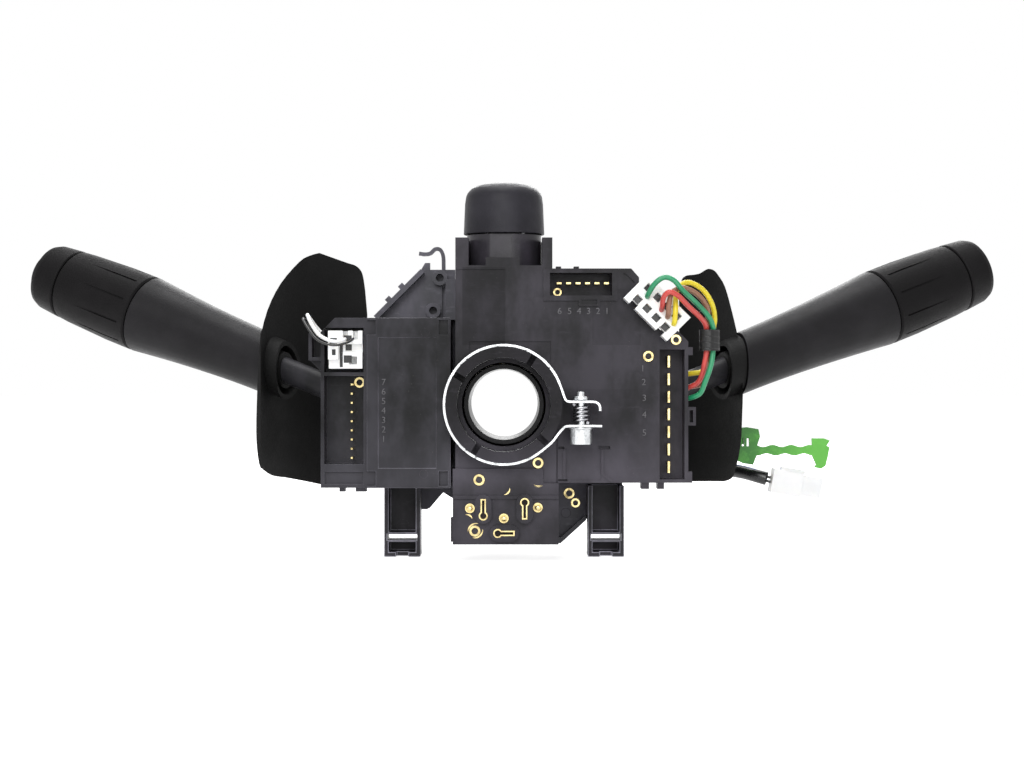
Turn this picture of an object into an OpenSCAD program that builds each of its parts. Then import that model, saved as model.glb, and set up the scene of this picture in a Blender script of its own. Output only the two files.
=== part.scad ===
// Combination stalk switch for a steering column.
// Millimetres, +Z up, -Y towards the column (rear), +Y towards the driver.
// The origin lies on the steering shaft's axis, in the plane of the rear face.

/* [Column seat] */
// Radius of the column tube that the collar grips
column_r = 17.6; // [16.8:0.1:18.4]
// Wall of the slotted collar
collar_wall = 4.2; // [3:0.1:5]
// How far the collar stands out behind the rear face
collar_h = 16; // [14:0.5:20]
// Width of the slots that let the collar close
collar_slot_w = 2.2; // [1.5:0.1:3]
// Thickness of the steel clamp band
band_t = 0.9; // [0.6:0.1:1.4]
// Width of the clamp band
band_w = 9; // [7:0.5:11]
// Gap between the two ears of the band
ear_gap = 8.2; // [7:0.1:9]
// Length of the ears, from the band outwards
ear_len = 14; // [12:0.5:16]
// Diameter of the clamp screw
clamp_screw_d = 3; // [2.5:0.5:4]
// Inner radius of the rotor's sleeve, which the steering shaft passes
shaft_bore_r = 13.6; // [12.5:0.1:14]

/* [Housing] */
// Wall of the moulded housings
wall = 2; // [1.6:0.1:2.4]
// Depth of the housings, from the rear face to the driver's side
case_depth = 40; // [39:0.5:44]
// Width of the hazard tower
tower_w = 36.9; // [35.5:0.1:39]
// Height of the tower's side walls above the shaft axis
tower_top = 63.5; // [62.5:0.1:66]
// Height of the tower's rear face above the shaft axis
tower_face_top = 52.9; // [52:0.1:56]
// Lower edge of the hub below the shaft axis
hub_low = 24.4; // [24:0.1:27]
// Outer side of the light switch case, from the shaft axis
light_out_x = 70.1; // [69.5:0.1:71]
// Lower edge of the light switch case below the shaft axis
light_low = 29.8; // [28.5:0.1:32]
// Depth of the connector wells
well_depth = 11; // [9:0.5:11]
// Wall around the connector wells
well_wall = 1.3; // [1:0.1:1.6]

/* [Connectors] */
// Pitch of the light connector's blades
blade_pitch = 6.7; // [6:0.1:6.8]
// Number of blades in the light connector
blade_n = 7; // [3:1:7]
// Width of a blade
blade_w = 4.4; // [2.8:0.1:4.8]
// Thickness of a blade
blade_t = 0.8; // [0.5:0.1:1]
// Pitch of the wiper connector's pins
pin_pitch = 3.5; // [2.5:0.1:3.5]
// Number of pins in the wiper connector
pin_n = 9; // [4:1:9]
// Side of a square connector pin
pin_w = 0.7; // [0.5:0.1:1]
// Pitch of the upper connector's pins
top_pin_pitch = 3.6; // [2.8:0.1:3.8]
// Number of pins in the upper connector
top_pin_n = 6; // [3:1:6]

/* [Wiper case] */
// Outer side of the wiper case, from the shaft axis
wiper_out_x = 69.6; // [68.5:0.1:73]
// Inner side of the wiper case, from the shaft axis
wiper_in_x = 20.6; // [20.6:0.1:22]
// Upper edge of the wiper case
wiper_top = 32.9; // [32:0.1:34.5]
// Lower edge of the wiper case below the shaft axis
wiper_low = 31.7; // [31:0.1:33]
// Side of the connector well's wall that faces the cover, from the shaft axis
wiper_step_x = 52; // [51:0.1:53]
// Thickness of the wiper case's cover
cover_t = 1.6; // [1.2:0.1:2]

/* [Hazard switch] */
// Radius of the hazard button
hazard_r = 15.7; // [15.3:0.1:16.2]
// Height of the hazard button
hazard_h = 20.3; // [18:0.1:24]
// Travel of the hazard button
hazard_travel = 3.8; // [2:0.1:4]
// Wall of the hazard button
hazard_wall = 0.95; // [0.8:0.05:1.2]

/* [Stalks] */
// Distance of each stalk's pivot from the shaft axis, sideways
pivot_x = 45; // [44:0.5:46]
// Height of the pivots
pivot_z = -3; // [-4:0.5:-2]
// Angle by which the stalks lean towards the driver
stalk_lean = 21.9; // [20:0.1:24]
// Angle by which the stalks rise
stalk_rise = 19.7; // [17:0.1:21]
// Length of the wiper stalk from the pivot to the tip of the end cap
stalk_len = 168; // [160:1:180]
// Length of the wiper stalk from the pivot to the seam between tube and grip
tube_end = 117; // [110:1:120]
// How much longer the light stalk's tube is
light_extra = 8; // [0:0.5:10]
// Length of the end cap
cap_len = 13.5; // [11:0.5:16]
// Radius of the stalk's tube at its root
tube_root_r = 11.9; // [10.5:0.1:13]
// Radius of the stalk at the seam between tube and grip
seam_r = 15.8; // [14.5:0.1:16.5]
// Radius of the stalk at the end cap's seam
cap_seam_r = 14.6; // [13.5:0.1:15]
// Radius of the end cap's flat end
tip_r = 13.6; // [12:0.1:14]
// Wall of tube and grip
stalk_wall = 2.2; // [1.6:0.1:2.6]
// Number of grooves in each grip
groove_n = 10; // [6:1:14]
// Radius of the lever's arm
arm_r = 5; // [4:0.1:5.4]
// Radius of the spindle that a grip turns on
spindle_r = 7.5; // [6:0.1:8.5]
// Gap of the running fits
running = 0.05; // [0.02:0.01:0.08]
// Gap between pieces that move past each other
gap = 0.4; // [0.3:0.05:0.6]

/* [Flaps] */
// Outer radius of the curved flaps about the pivots
flap_r = 52.3; // [51.5:0.1:54]
// Thickness of the flaps
flap_t = 1.8; // [1.4:0.1:2.2]
// Radius of the boss that joins a flap to its arm
flap_boss_r = 11; // [9:0.5:12]

/* [Clock spring] */
// Outer radius of the clock spring's stator
stator_r = 43; // [41:0.5:45]
// Depth of the clock spring
stator_h = 22; // [20:0.5:26]
// Wall of the clock spring's mouldings
stator_wall = 1.6; // [1.2:0.1:2]
// Wall of the rotor's sleeve
sleeve_wall = 1.8; // [1.4:0.1:2]
// Height of the driving lugs above the rotor's disc
lug_h = 7; // [4:0.5:9]
// Turns of the ribbon
ribbon_turns = 5; // [3:1:6]

/* [Terminal plate] */
// Lower edge of the terminal plate below the shaft axis
plate_low = 53.2; // [52:0.1:55]
// Width of the terminal plate
plate_w = 40.2; // [39:0.1:42]
// Thickness of the terminal plate
plate_t = 3; // [2.4:0.1:4]

/* [Support frame] */
// Thickness of the support frame's plate
frame_t = 2.5; // [2:0.1:3]
// Distance of the clip legs' centres from the shaft axis
leg_x = 40; // [39:0.5:41]
// Width of a clip leg
leg_w = 14.2; // [12:0.1:15]
// Lower end of the clip legs below the shaft axis
leg_low = 60; // [57:0.5:64]
// Depth of a clip leg's channel walls
leg_depth = 14; // [10:0.5:16]

/* [Hidden] */
$fn = 48;

// Column seat
collar_r = column_r + collar_wall;
collar_root = 2;
band_r = collar_r + running;
band_y0 = -collar_h + 2;
band_y1 = band_y0 + band_w;
ear_top_z = 0.7;
ear_low_z = ear_top_z - ear_gap - band_t;
ear_end_x = band_r + band_t + ear_len;
screw_x = 29;
screw_head_r = 4.15;
screw_head_h = 5.6;
slot_angles = [58, 148, 238, 318];
slit_angles = [39, 68, 96, 129, 137, 148, 230, 242, 294];
// Hub
tube_wall = 2;
sleeve_r = shaft_bore_r + sleeve_wall;
cam_r = 19.6;
cam_t = 4;
cam_room = cam_r + 0.6;
// Light switch case
light_in_x = 20.4;
light_top = 51.7;
light_shelf_z = 28.3;
socket_x0 = light_out_x - 12.2;
socket_w = 12.1;
socket_top = 22.2;
blade_x = socket_x0 + 5;
top_socket = [16.2, 40.1, 26.2, 11.2];
top_pin_z = 46.2;
top_pin_w = 1.8;
// Wiper case
pin_x = 58;
pin_top_z = 7.6;
plug_low_z = 13.6;
// Mechanism bays
floor_t = 2.5;
contact_t = 1.6;
fit = 0.2;
post = 3;
// Room for plates in each bay: inner side, lower edge, outer side and upper edge
light_bay = [light_in_x + wall + fit, -light_low + wall + fit, socket_x0 - 2 * fit, light_shelf_z - wall - fit];
wiper_bay = [wiper_in_x + wall + fit, -wiper_low + wall + fit, wiper_step_x - 2 * fit, wiper_top - wall - fit];
bearing_y = 8.6;
bearing_t = 3;
cover_y = case_depth - bearing_t - 0.6;
pivot_y = (bearing_y + bearing_t + cover_y) / 2;
cam_y = pivot_y + 6;
tube_depth = cam_y - 4;
// Carrier, about the pivot
web_out = (cover_y - bearing_y - bearing_t) / 2 - 1.2;
web_t = 2.6;
boss_r = 4;
carrier_w = 13;
carrier_h = 11;
hub_r = 6;
stub_r = 2.5;
tail_len = 15.5;
track_r = 19.3;
arm_end = 74;
button_travel = 1.5;
cap_seat = 2;
// Radius at which the flaps' outlines are drawn
flap_drawn_r = 52.3;
// Support frame
leg_seat_z = -wiper_low - 7;
leg_wall = 1.8;
eye_r = 1.6;
bracket_eyes = [[-25.6, 50], [-28.3, 37]];
// Hazard switch
barrel_r = hazard_r - hazard_wall - 0.35;
hazard_y = case_depth / 2;
barrel_low = tower_face_top - 14;
cap_low = 65.8;
stem_r = 5;
// Clock spring
stator_y = case_depth + frame_t + 0.4;
stator_top = stator_y + stator_h;
ring_t = 2;
rotor_disc_y = stator_top - 3;
// The stalk's axis as a direction, seen from the pivot of the light side
stalk_dir = [cos(stalk_rise) * cos(stalk_lean), cos(stalk_rise) * sin(stalk_lean), sin(stalk_rise)];

// Extrudes a shape, drawn in X and Z as seen from behind, from depth y0 to y1
module slab(y0, y1) {
    translate([0, y1, 0])
        rotate([90, 0, 0])
            linear_extrude(y1 - y0)
                children();
}

// Box between two corners
module block(low, high) {
    translate(low)
        cube(high - low);
}

// Rectangle between two corners
module plate(low, high) {
    translate(low)
        square(high - low);
}

// Cylinder along +Y about the point x, z
module rod_y(x, z, r, y0, y1) {
    translate([x, y0, z])
        rotate([-90, 0, 0])
            cylinder(r = r, h = y1 - y0);
}

// Places what is built about the pivot with +X outwards: side 1 is the light stalk, -1 the wiper stalk
module at_pivot(side) {
    translate([side * pivot_x, pivot_y, pivot_z])
        mirror([side < 0 ? 1 : 0, 0, 0])
            children();
}

// Turns +Z onto the stalk's axis
module along_stalk() {
    rotate([0, 90 - stalk_rise, stalk_lean])
        children();
}

// Tube or rod swept along points, as rings of n corners
function unit(v) = v / norm(v);
function tangent(p, i) =
    unit(p[min(i + 1, len(p) - 1)] - p[max(i - 1, 0)]);
function ring_points(p, i, r, n) =
    let (t = tangent(p, i),
         a = unit(cross(t, abs(t.z) > 0.9 ? [1, 0, 0] : [0, 0, 1])),
         b = cross(t, a))
    [for (k = [0 : n - 1]) p[i] + r * (cos(360 * k / n) * a + sin(360 * k / n) * b)];
module sweep(p, r, n = 8) {
    last = len(p) - 1;
    polyhedron(
        points = [for (i = [0 : last]) each ring_points(p, i, r, n)],
        faces = concat(
            [[for (k = [0 : n - 1]) k]],
            [for (i = [0 : last - 1]) for (k = [0 : n - 1])
                [i * n + k, (i + 1) * n + k, (i + 1) * n + (k + 1) % n, i * n + (k + 1) % n]],
            [[for (k = [n - 1 : -1 : 0]) last * n + k]]
        ),
        convexity = 6
    );
}

// Smooth path through hand-placed points
function bend(p, i, t) =
    let (a = p[max(i - 1, 0)], b = p[i], c = p[i + 1], d = p[min(i + 2, len(p) - 1)])
    0.5 * (2 * b + (c - a) * t + (2 * a - 5 * b + 4 * c - d) * t * t + (3 * b - a - 3 * c + d) * t * t * t);
function smooth(p, steps) =
    [for (i = [0 : len(p) - 2]) for (s = [0 : steps - 1]) bend(p, i, s / steps), p[len(p) - 1]];

// Outline of a strip of width w along points in a plane
function side_step(p, i) =
    let (t = unit(p[min(i + 1, len(p) - 1)] - p[max(i - 1, 0)])) [-t.y, t.x];
function strip(p, w) = concat(
    [for (i = [0 : len(p) - 1]) p[i] - side_step(p, i) * w / 2],
    [for (i = [len(p) - 1 : -1 : 0]) p[i] + side_step(p, i) * w / 2]
);

// Points of a coil of the given radius, height and number of turns
function coil(r, h, turns, steps = 12) =
    [for (i = [0 : turns * steps])
        let (a = 360 * i / steps) [r * cos(a), r * sin(a), h * i / (turns * steps)]];

// Socket well with an open mouth in the rear face: outer walls only
module well(low, size) {
    difference() {
        block([low.x, 0, low.y], [low.x + size.x, well_depth + well_wall, low.y + size.y]);
        well_room(low, size);
    }
}

// The hollow of a socket well
module well_room(low, size) {
    block([low.x + well_wall, -1, low.y + well_wall],
          [low.x + size.x - well_wall, well_depth, low.y + size.y - well_wall]);
}

// Outline of the hub, tower and light switch case, seen from behind
module housing_outline() {
    half = tower_w / 2;
    plate([-half, -hub_low], [half, tower_top]);
    polygon([
        [15, -light_low], [light_out_x, -light_low], [light_out_x, 24], [light_out_x - 4.3, light_shelf_z],
        [59.5, light_shelf_z], [51.4, 36], [51.4, light_top - 3.4], [48.4, light_top], [15, light_top]
    ]);
}

// Frame raised round the upper connector, with the block that its plug latches on
module top_socket_rim() {
    low = [top_socket[0] - 1.2, top_socket[1] - 0.7];
    high = [top_socket[0] + top_socket[2] + 0.8, top_socket[1] + top_socket[3] + 0.3];
    latch_x = 28.4;
    slab(-0.8, 0.1)
        difference() {
            union() {
                plate(low, high);
                plate([latch_x, low.y - 2.1], [latch_x + 8.2, low.y + 1]);
            }
            plate([top_socket[0] + well_wall, top_socket[1] + well_wall],
                  [top_socket[0] + top_socket[2] - well_wall, top_socket[1] + top_socket[3] - well_wall]);
            plate([latch_x + 1.2, low.y - 1.2], [latch_x + 7, low.y + 0.4]);
        }
    // Bumps on the top edge
    for (x = [19.8, 26.6])
        block([x, 1, light_top - 0.1], [x + 2, 6, light_top + 0.8]);
}

// Ribs round the flat on which the clamp screw's head is reached
module face_ribs() {
    slab(-0.7, 0.1) {
        plate([22.5, -28.4], [23.5, -16.9]);
        polygon(strip([[37.5, -16.6], [37.5, -26.6], [41.3, -light_low + 0.4]], 1));
    }
}

// Flanges and latch tab on the outer side of the light switch case, and the feet under it
module case_flanges() {
    x = light_out_x - 0.1;
    block([x, 0, 18.8], [x + 1.8, 5, 21.8]);
    block([x, 0, -light_low], [x + 1.6, 5, -light_low + 4.2]);
    difference() {
        block([x, 0, -8], [x + 3, 7, -1]);
        block([x + 0.6, -1, -6.8], [x + 1.9, 5.6, -2.2]);
    }
    for (foot = [[52.3, 3], [58.4, 2.6]])
        block([foot.x, 1, -light_low - 2.4], [foot.x + foot.y, 9, -light_low + 0.1]);
}

module light_bay_outline() {
    polygon([
        [light_in_x + wall, -light_low + wall], [light_out_x - wall, -light_low + wall],
        [light_out_x - wall, 23.2], [light_out_x - 5.1, light_shelf_z - wall],
        [light_in_x + wall, light_shelf_z - wall]
    ]);
}

module main_housing() {
    half = tower_w / 2;
    color("#2b2b2d")
        difference() {
            union() {
                slab(0, case_depth) housing_outline();
                collar();
                top_socket_rim();
                face_ribs();
                case_flanges();
            }
            // Mechanism bay of the light stalk
            difference() {
                slab(floor_t, case_depth + 1) light_bay_outline();
                well([socket_x0, -light_low], [socket_w, socket_top + light_low]);
            }
            well_room([socket_x0, -light_low], [socket_w, socket_top + light_low]);
            // Room behind the upper connector
            difference() {
                slab(floor_t, case_depth + 1)
                    polygon([[half + wall, light_shelf_z], [56.5, light_shelf_z], [49.4, 34.6],
                             [49.4, light_top - wall], [half + wall, light_top - wall]]);
                well([top_socket[0], top_socket[1]], [top_socket[2], top_socket[3]]);
            }
            well_room([top_socket[0], top_socket[1]], [top_socket[2], top_socket[3]]);
            // Tower
            slab(floor_t, hazard_y + barrel_r + 1)
                plate([-half + wall, cam_room + 4], [half - 3.6, tower_face_top - wall]);
            translate([0, hazard_y, tower_face_top - wall - 1])
                cylinder(r = barrel_r + running, h = 20);
            translate([0, hazard_y, cap_low - hazard_travel - 1])
                cylinder(r = hazard_r + gap, h = 20);
            difference() {
                block([-half + 5, -1, tower_face_top], [half - 3.9, case_depth + 1, tower_top + 1]);
                // Catch in the middle of the face's upper edge
                block([-6.9, -2, tower_face_top - 1], [5.9, wall, tower_face_top + 3]);
            }
            // Hub: passage, column seat and room for the cancelling cam
            rod_y(0, 0, sleeve_r + 0.6, -collar_h - 1, case_depth + 1);
            difference() {
                rod_y(0, 0, 22, floor_t + 1, tube_depth);
                rod_y(0, 0, sleeve_r + 0.6 + tube_wall, floor_t, tube_depth + 1);
                block([-30, 0, -30], [-half + wall, case_depth, 30]);
                block([half - wall, 0, -30], [30, case_depth, 30]);
            }
            rod_y(0, 0, cam_room, tube_depth, case_depth + 1);
            // Window of the cancelling pawl, and the arm's way out of the case
            block([half - 4, cam_y - 1, pivot_z - 4],
                  [light_in_x + wall + 1, cam_y + cam_t + 1, pivot_z + 4]);
            block([light_out_x - wall - 1, 14, -16], [light_out_x + 1, case_depth + 1, 23]);
            // Steps in the face
            slab(-1, 0.5) plate([-half - 1, 27], [0.8, tower_face_top - 1.5]);
            slab(-1, 0.6) plate([-13.2, 4], [17.9, 24]);
            slab(-1, 0.4) plate([23.5, -light_low + 1], [37, -16.9]);
            // Slots beside the ribs, the seam to the hub and the seam of the upper corner
            slab(-1, 1.8) {
                plate([20.8, -17], [23, -16]);
                plate([36, -17.1], [40.4, -15.8]);
                plate([20.6, -light_low + 0.6], [24.2, -light_low + 1.4]);
            }
            slab(-1, 1) plate([19.9, -light_low - 1], [20.5, -12]);
            slab(-1, 0.8) polygon(strip([[45.6, 49.8], [49.6, 46.2]], 0.8));
        }
}

// Slotted collar about the column tube, which seats on the rear face inside it
module collar() {
    difference() {
        rod_y(0, 0, collar_r, -collar_h, 0);
        rod_y(0, 0, column_r, -collar_h - 1, 1);
        for (a = slot_angles)
            rotate([0, -a, 0])
                block([column_r - 2, -collar_h - 1, -collar_slot_w / 2],
                      [collar_r + 1, -collar_root, collar_slot_w / 2]);
    }
}

module clamp_band() {
    mid_r = band_r + band_t / 2;
    upper_z = ear_top_z + band_t / 2;
    lower_z = ear_low_z + band_t / 2;
    open_angles = [-54, 22];
    function on_ring(a) = mid_r * [cos(a), sin(a)];
    // The band leaves the collar in a soft bend towards each ear
    upper = concat(
        [for (a = [open_angles[1] + 8, open_angles[1]]) on_ring(a)],
        [[band_r + 0.2, upper_z + 3.6], [band_r + 1.2, upper_z + 0.9], [band_r + 3, upper_z],
         [ear_end_x - 4.4, upper_z], [ear_end_x - 2, upper_z - 0.3], [ear_end_x - 0.9, upper_z - 1.5],
         [ear_end_x - 0.7, upper_z - 3.4]]
    );
    lower = concat(
        [for (a = [open_angles[0] - 8, open_angles[0]]) on_ring(a)],
        [[band_r - 4.2, lower_z - 6.4], [band_r - 1.4, lower_z - 2.9], [band_r + 0.4, lower_z - 0.9],
         [band_r + 2.6, lower_z], [ear_end_x, lower_z]]
    );
    color("silver")
        difference() {
            slab(band_y0, band_y1) {
                difference() {
                    circle(band_r + band_t);
                    circle(band_r);
                    polygon([[0, 0], 2 * on_ring(open_angles[0]),
                             [3 * band_r, 0], 2 * on_ring(open_angles[1])]);
                }
                polygon(strip(smooth(upper, 3), band_t - 0.1));
                polygon(strip(smooth(lower, 3), band_t - 0.1));
            }
            translate([screw_x, (band_y0 + band_y1) / 2, ear_low_z - 1])
                cylinder(d = clamp_screw_d + 0.5, h = ear_gap + 4);
            // Slits in the band's rear edge
            for (a = slit_angles)
                rotate([0, -a, 0])
                    block([band_r - 1, band_y0 - 1, -0.4], [band_r + 2, band_y0 + 1.6, 0.4]);
        }
}

module clamp_screw() {
    color("lightgray")
        translate([screw_x, (band_y0 + band_y1) / 2, ear_low_z]) {
            cylinder(d = clamp_screw_d, h = ear_gap + band_t + 4.2);
            translate([0, 0, ear_gap + 2 * band_t])
                cylinder(r = clamp_screw_d / 2 + 1.3, h = 1.6);
            translate([0, 0, -0.9])
                cylinder(r = screw_head_r + 0.4, h = 0.9);
            difference() {
                translate([0, 0, -screw_head_h - 0.9])
                    cylinder(r = screw_head_r, h = screw_head_h);
                translate([0, 0, -screw_head_h - 1.9])
                    cylinder(r = 2.6, h = 3.5, $fn = 6);
            }
        }
}

module clamp_spring() {
    wire = 0.55;
    color("dimgray")
        translate([screw_x, (band_y0 + band_y1) / 2, ear_low_z + band_t + wire + 0.05])
            sweep(coil(clamp_screw_d / 2 + wire + 0.5, ear_gap - 2 * wire - 0.1, 4.5), wire, 6);
}

// Shell of the wiper case: rear floor, side walls, open to the driver's side
module wiper_case_outline() {
    polygon([
        [-wiper_out_x, -wiper_low], [-wiper_in_x, -wiper_low], [-wiper_in_x, wiper_top],
        [-wiper_out_x + 5.4, wiper_top], [-wiper_out_x, wiper_top - 5.4]
    ]);
}

module wiper_bay_outline() {
    polygon([
        [-wiper_out_x + wall, -wiper_low + wall], [-wiper_in_x - wall, -wiper_low + wall],
        [-wiper_in_x - wall, wiper_top - wall], [-wiper_out_x + 6, wiper_top - wall],
        [-wiper_out_x + wall, wiper_top - 6]
    ]);
}

module wiper_case() {
    well_w = wiper_out_x - wiper_step_x;
    color("#303032")
        difference() {
            slab(0, case_depth) wiper_case_outline();
            difference() {
                slab(floor_t, case_depth + 1) wiper_bay_outline();
                well([-wiper_out_x, -24], [well_w, 36.2]);
                well([-wiper_out_x, plug_low_z - 2.7], [well_w, 19.6]);
            }
            well_room([-wiper_out_x, -24], [well_w, 36.2]);
            well_room([-wiper_out_x, plug_low_z - 2.7], [well_w, 19.6]);
            // Shallow steps above and below the wells
            slab(-1, 1.2) plate([-wiper_out_x + 1.4, -wiper_low + 1.4], [-wiper_step_x - 1.4, -25.6]);
            // The arm's way out of the case
            block([-wiper_out_x - 1, 14.2, -16], [-wiper_out_x + wall + 1, case_depth + 1, 24]);
            // Room beside the cancelling cam
            rod_y(0, 0, cam_room + 0.4, tube_depth, case_depth + 1);
        }
    color("#303032") {
        lead_channel();
        for (foot = [[-62.6, 2.2], [-56.4, 4]])
            block([foot.x, 1, -wiper_low - 1.5], [foot.x + foot.y, 8, -wiper_low + 0.1]);
    }
}

// Channel on the case's outer side, open to the rear and at its top, with a gusset below
module lead_channel() {
    x = -wiper_out_x;
    difference() {
        block([x - 5, 4, 16.8], [x + 0.1, 13.8, 27.2]);
        block([x - 3.8, 3, 18], [x - 0.1, 12.6, 28.2]);
    }
    slab(8, 13.8)
        polygon([[x + 0.1, 16.9], [x - 5, 16.9], [x + 0.1, 12]]);
}

module wiper_case_cover() {
    notch = [3.4, 5.6];
    color("#353538")
        difference() {
            slab(-cover_t, 0) plate([-wiper_step_x, -wiper_low], [-wiper_in_x + 0.4, wiper_top]);
            rod_y(0, 0, collar_r + gap, -cover_t - 1, 1);
            for (x = [-wiper_step_x, -wiper_in_x - 4])
                for (z = [wiper_top - notch.y - 0.8, -wiper_low + 0.8])
                    block([x - 0.1, -cover_t - 1, z], [x + notch.x, 1, z + notch.y]);
            slab(-cover_t - 1, -cover_t + 0.4)
                plate([-wiper_step_x + 4.4, -wiper_low + 7.5], [-wiper_in_x - 5, wiper_top - 7.5]);
        }
}

module wiper_connector_pins() {
    color("khaki")
        for (i = [0 : pin_n - 1])
            block([-pin_x - pin_w / 2, 2.6, pin_top_z - i * pin_pitch - pin_w / 2],
                  [-pin_x + pin_w / 2, well_depth + 1, pin_top_z - i * pin_pitch + pin_w / 2]);
}

module light_connector_blades() {
    middle = (socket_top - light_low) / 2;
    color("khaki")
        for (i = [0 : blade_n - 1])
            let (z = middle + (i - (blade_n - 1) / 2) * blade_pitch)
                block([blade_x - blade_t / 2, 2.6, z - blade_w / 2],
                      [blade_x + blade_t / 2, well_depth + 1, z + blade_w / 2]);
}

module top_connector_pins() {
    middle = top_socket[0] + top_socket[2] / 2;
    color("khaki")
        for (i = [0 : top_pin_n - 1])
            let (x = middle + 0.8 + (i - (top_pin_n - 1) / 2) * top_pin_pitch)
                block([x - top_pin_w / 2, 2.6, top_pin_z - pin_w / 2],
                      [x + top_pin_w / 2, well_depth + 1, top_pin_z + pin_w / 2]);
}

// Contact plates on the rear floor of the cases
module wiper_contact_plate() {
    color("saddlebrown")
        block([-wiper_bay[2], floor_t, wiper_bay[1]], [-wiper_bay[0], floor_t + contact_t, wiper_bay[3]]);
}

module light_contact_plate() {
    color("saddlebrown")
        block([light_bay[0], floor_t, light_bay[1]], [light_bay[2], floor_t + contact_t, light_bay[3]]);
}

// Plate with the carrier's rear bearing and the detent track, about the pivot
module bearing_plate(bay) {
    x0 = bay[0] - pivot_x;
    x1 = bay[2] - pivot_x;
    z0 = bay[1] - pivot_z;
    z1 = bay[3] - pivot_z;
    y0 = bearing_y - pivot_y;
    difference() {
        union() {
            block([x0, y0, z0], [x1, y0 + bearing_t, z1]);
            // Feet down to the contact plate
            for (x = [x0 + post, x1 - post])
                for (z = [z0 + post, z1 - post])
                    rod_y(x, z, 2.5, floor_t + contact_t - pivot_y, y0 + 0.1);
            difference() {
                block([x0, y0, -8], [-17, 5.3, 8]);
                sphere(r = track_r);
            }
        }
        rod_y(0, 0, boss_r + running, y0 - 1, y0 + bearing_t + 1);
    }
}

module wiper_bearing_plate() {
    color("ivory")
        at_pivot(-1)
            bearing_plate(wiper_bay);
}

module light_bearing_plate() {
    color("ivory")
        at_pivot(1)
            bearing_plate(light_bay);
}

// Cover with the carrier's front bearing and the pillars that stand on the bearing plate
module carrier_cover(bay) {
    x0 = bay[0] - pivot_x;
    x1 = bay[2] - pivot_x;
    z0 = bay[1] - pivot_z;
    z1 = bay[3] - pivot_z;
    y0 = cover_y - pivot_y;
    difference() {
        union() {
            block([x0, y0, z0], [x1, y0 + bearing_t, z1]);
            for (x = [x0 + post, x1 - post])
                for (z = [z0 + post, z1 - post])
                    rod_y(x, z, 2.5, bearing_y + bearing_t - pivot_y, y0 + 0.1);
        }
        rod_y(0, 0, boss_r + running, y0 - 1, y0 + bearing_t + 1);
        block([6, y0 - 1, -14], [x1 + 1, y0 + bearing_t + 1, 22]);
        for (z = [z0 + post, z1 - post])
            rod_y(x0 + post, z, 1.5, y0 - 7, y0 + bearing_t + 1);
    }
}

module wiper_carrier_cover() {
    color("#3a3a3c")
        at_pivot(-1)
            carrier_cover(wiper_bay);
}

module light_carrier_cover() {
    x0 = light_bay[0] - pivot_x;
    y0 = cover_y - pivot_y;
    color("#3a3a3c")
        at_pivot(1) {
            carrier_cover(light_bay);
            // Rails that guide the cancelling pawl
            for (z = [-4.8, 3.3])
                block([x0, 6, z], [x0 + 6.5, y0 + 0.1, z + 1.5]);
        }
}

// Oval, as long as w and as wide as d, upright or lying
module oval(w, d) {
    hull()
        for (s = [-1, 1])
            translate([s * (w - d) / 2, 0])
                circle(d = d, $fn = 32);
}

// Keyhole outline: a round end and a narrow slot, widened by grow
module keyhole(grow = 0) {
    translate([-2.5, 0])
        circle(r = 1.2 + grow);
    plate([-2.5, -0.5 - grow], [3.4 + grow, 0.5 + grow]);
}

// Places on the terminal plate: x, z and the turn of each keyhole
keyholes = [[-7.8, -39.7, 90], [7.9, -39.6, -90], [0.2, -48.8, 0]];
keyhole_lining = 0.5;
keyhole_floor_y = plate_t - 1.8;

// The terminal plate's outline, stepped round the light switch case; inset makes its walls
module terminal_outline(inset = 0) {
    left = -plate_w / 2 + 0.7 + inset;
    right = plate_w / 2 + 0.7 - inset;
    polygon([
        [left, -plate_low + inset], [right, -plate_low + inset], [right, -light_low - 0.1 - inset],
        [14.9 - inset, -light_low - 0.1 - inset], [14.9 - inset, -hub_low - inset], [left, -hub_low - inset]
    ]);
}

module terminal_plate() {
    color("#2d2d2f")
        difference() {
            union() {
                slab(-1, plate_t - 1) terminal_outline();
                // Skirt and ridge
                slab(plate_t - 1, 12)
                    difference() {
                        terminal_outline();
                        terminal_outline(wall);
                    }
                slab(-2, 0) plate([-plate_w / 2 + 0.7, -35.8], [plate_w / 2 + 0.7, -34.6]);
                for (k = keyholes)
                    slab(-3, 0) translate([k.x, k.y]) rotate(k.z) oval(11, 6.2);
                // Bar on the plate's side
                slab(0, 8) plate([-plate_w / 2 - 0.1, -plate_low + 1], [-plate_w / 2 + 0.8, -43.2]);
            }
            for (k = keyholes)
                slab(-4, keyhole_floor_y) translate([k.x, k.y]) rotate(k.z) keyhole(keyhole_lining + running);
        }
}

module keyhole_terminals() {
    color("gold")
        for (k = keyholes)
            slab(-3.1, keyhole_floor_y)
                translate([k.x, k.y])
                    rotate(k.z)
                        difference() {
                            keyhole(keyhole_lining);
                            keyhole();
                        }
}

// Eyelets: x, z, radius and the depth of the face that they sit on
eyelets = [
    [-9.4, -28.6, 2.1, -1], [13, -22.2, 2, 0], [-11, -48, 2.1, -1], [54.9, 18.3, 2, 0], [65.4, 24.6, 1.9, 0],
    [20.6, 43.1, 1.6, well_depth], [-55.6, 8.4, 2, well_depth],
    [25.9, -35.8, 2.1, case_depth], [28.4, -39.6, 1.8, case_depth]
];
// Rivets: x, z and radius, on the terminal plate
rivets = [[-12.9, -39.4, 1.8], [12.9, -39.1, 1.8], [0, -43.2, 1.8]];

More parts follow.
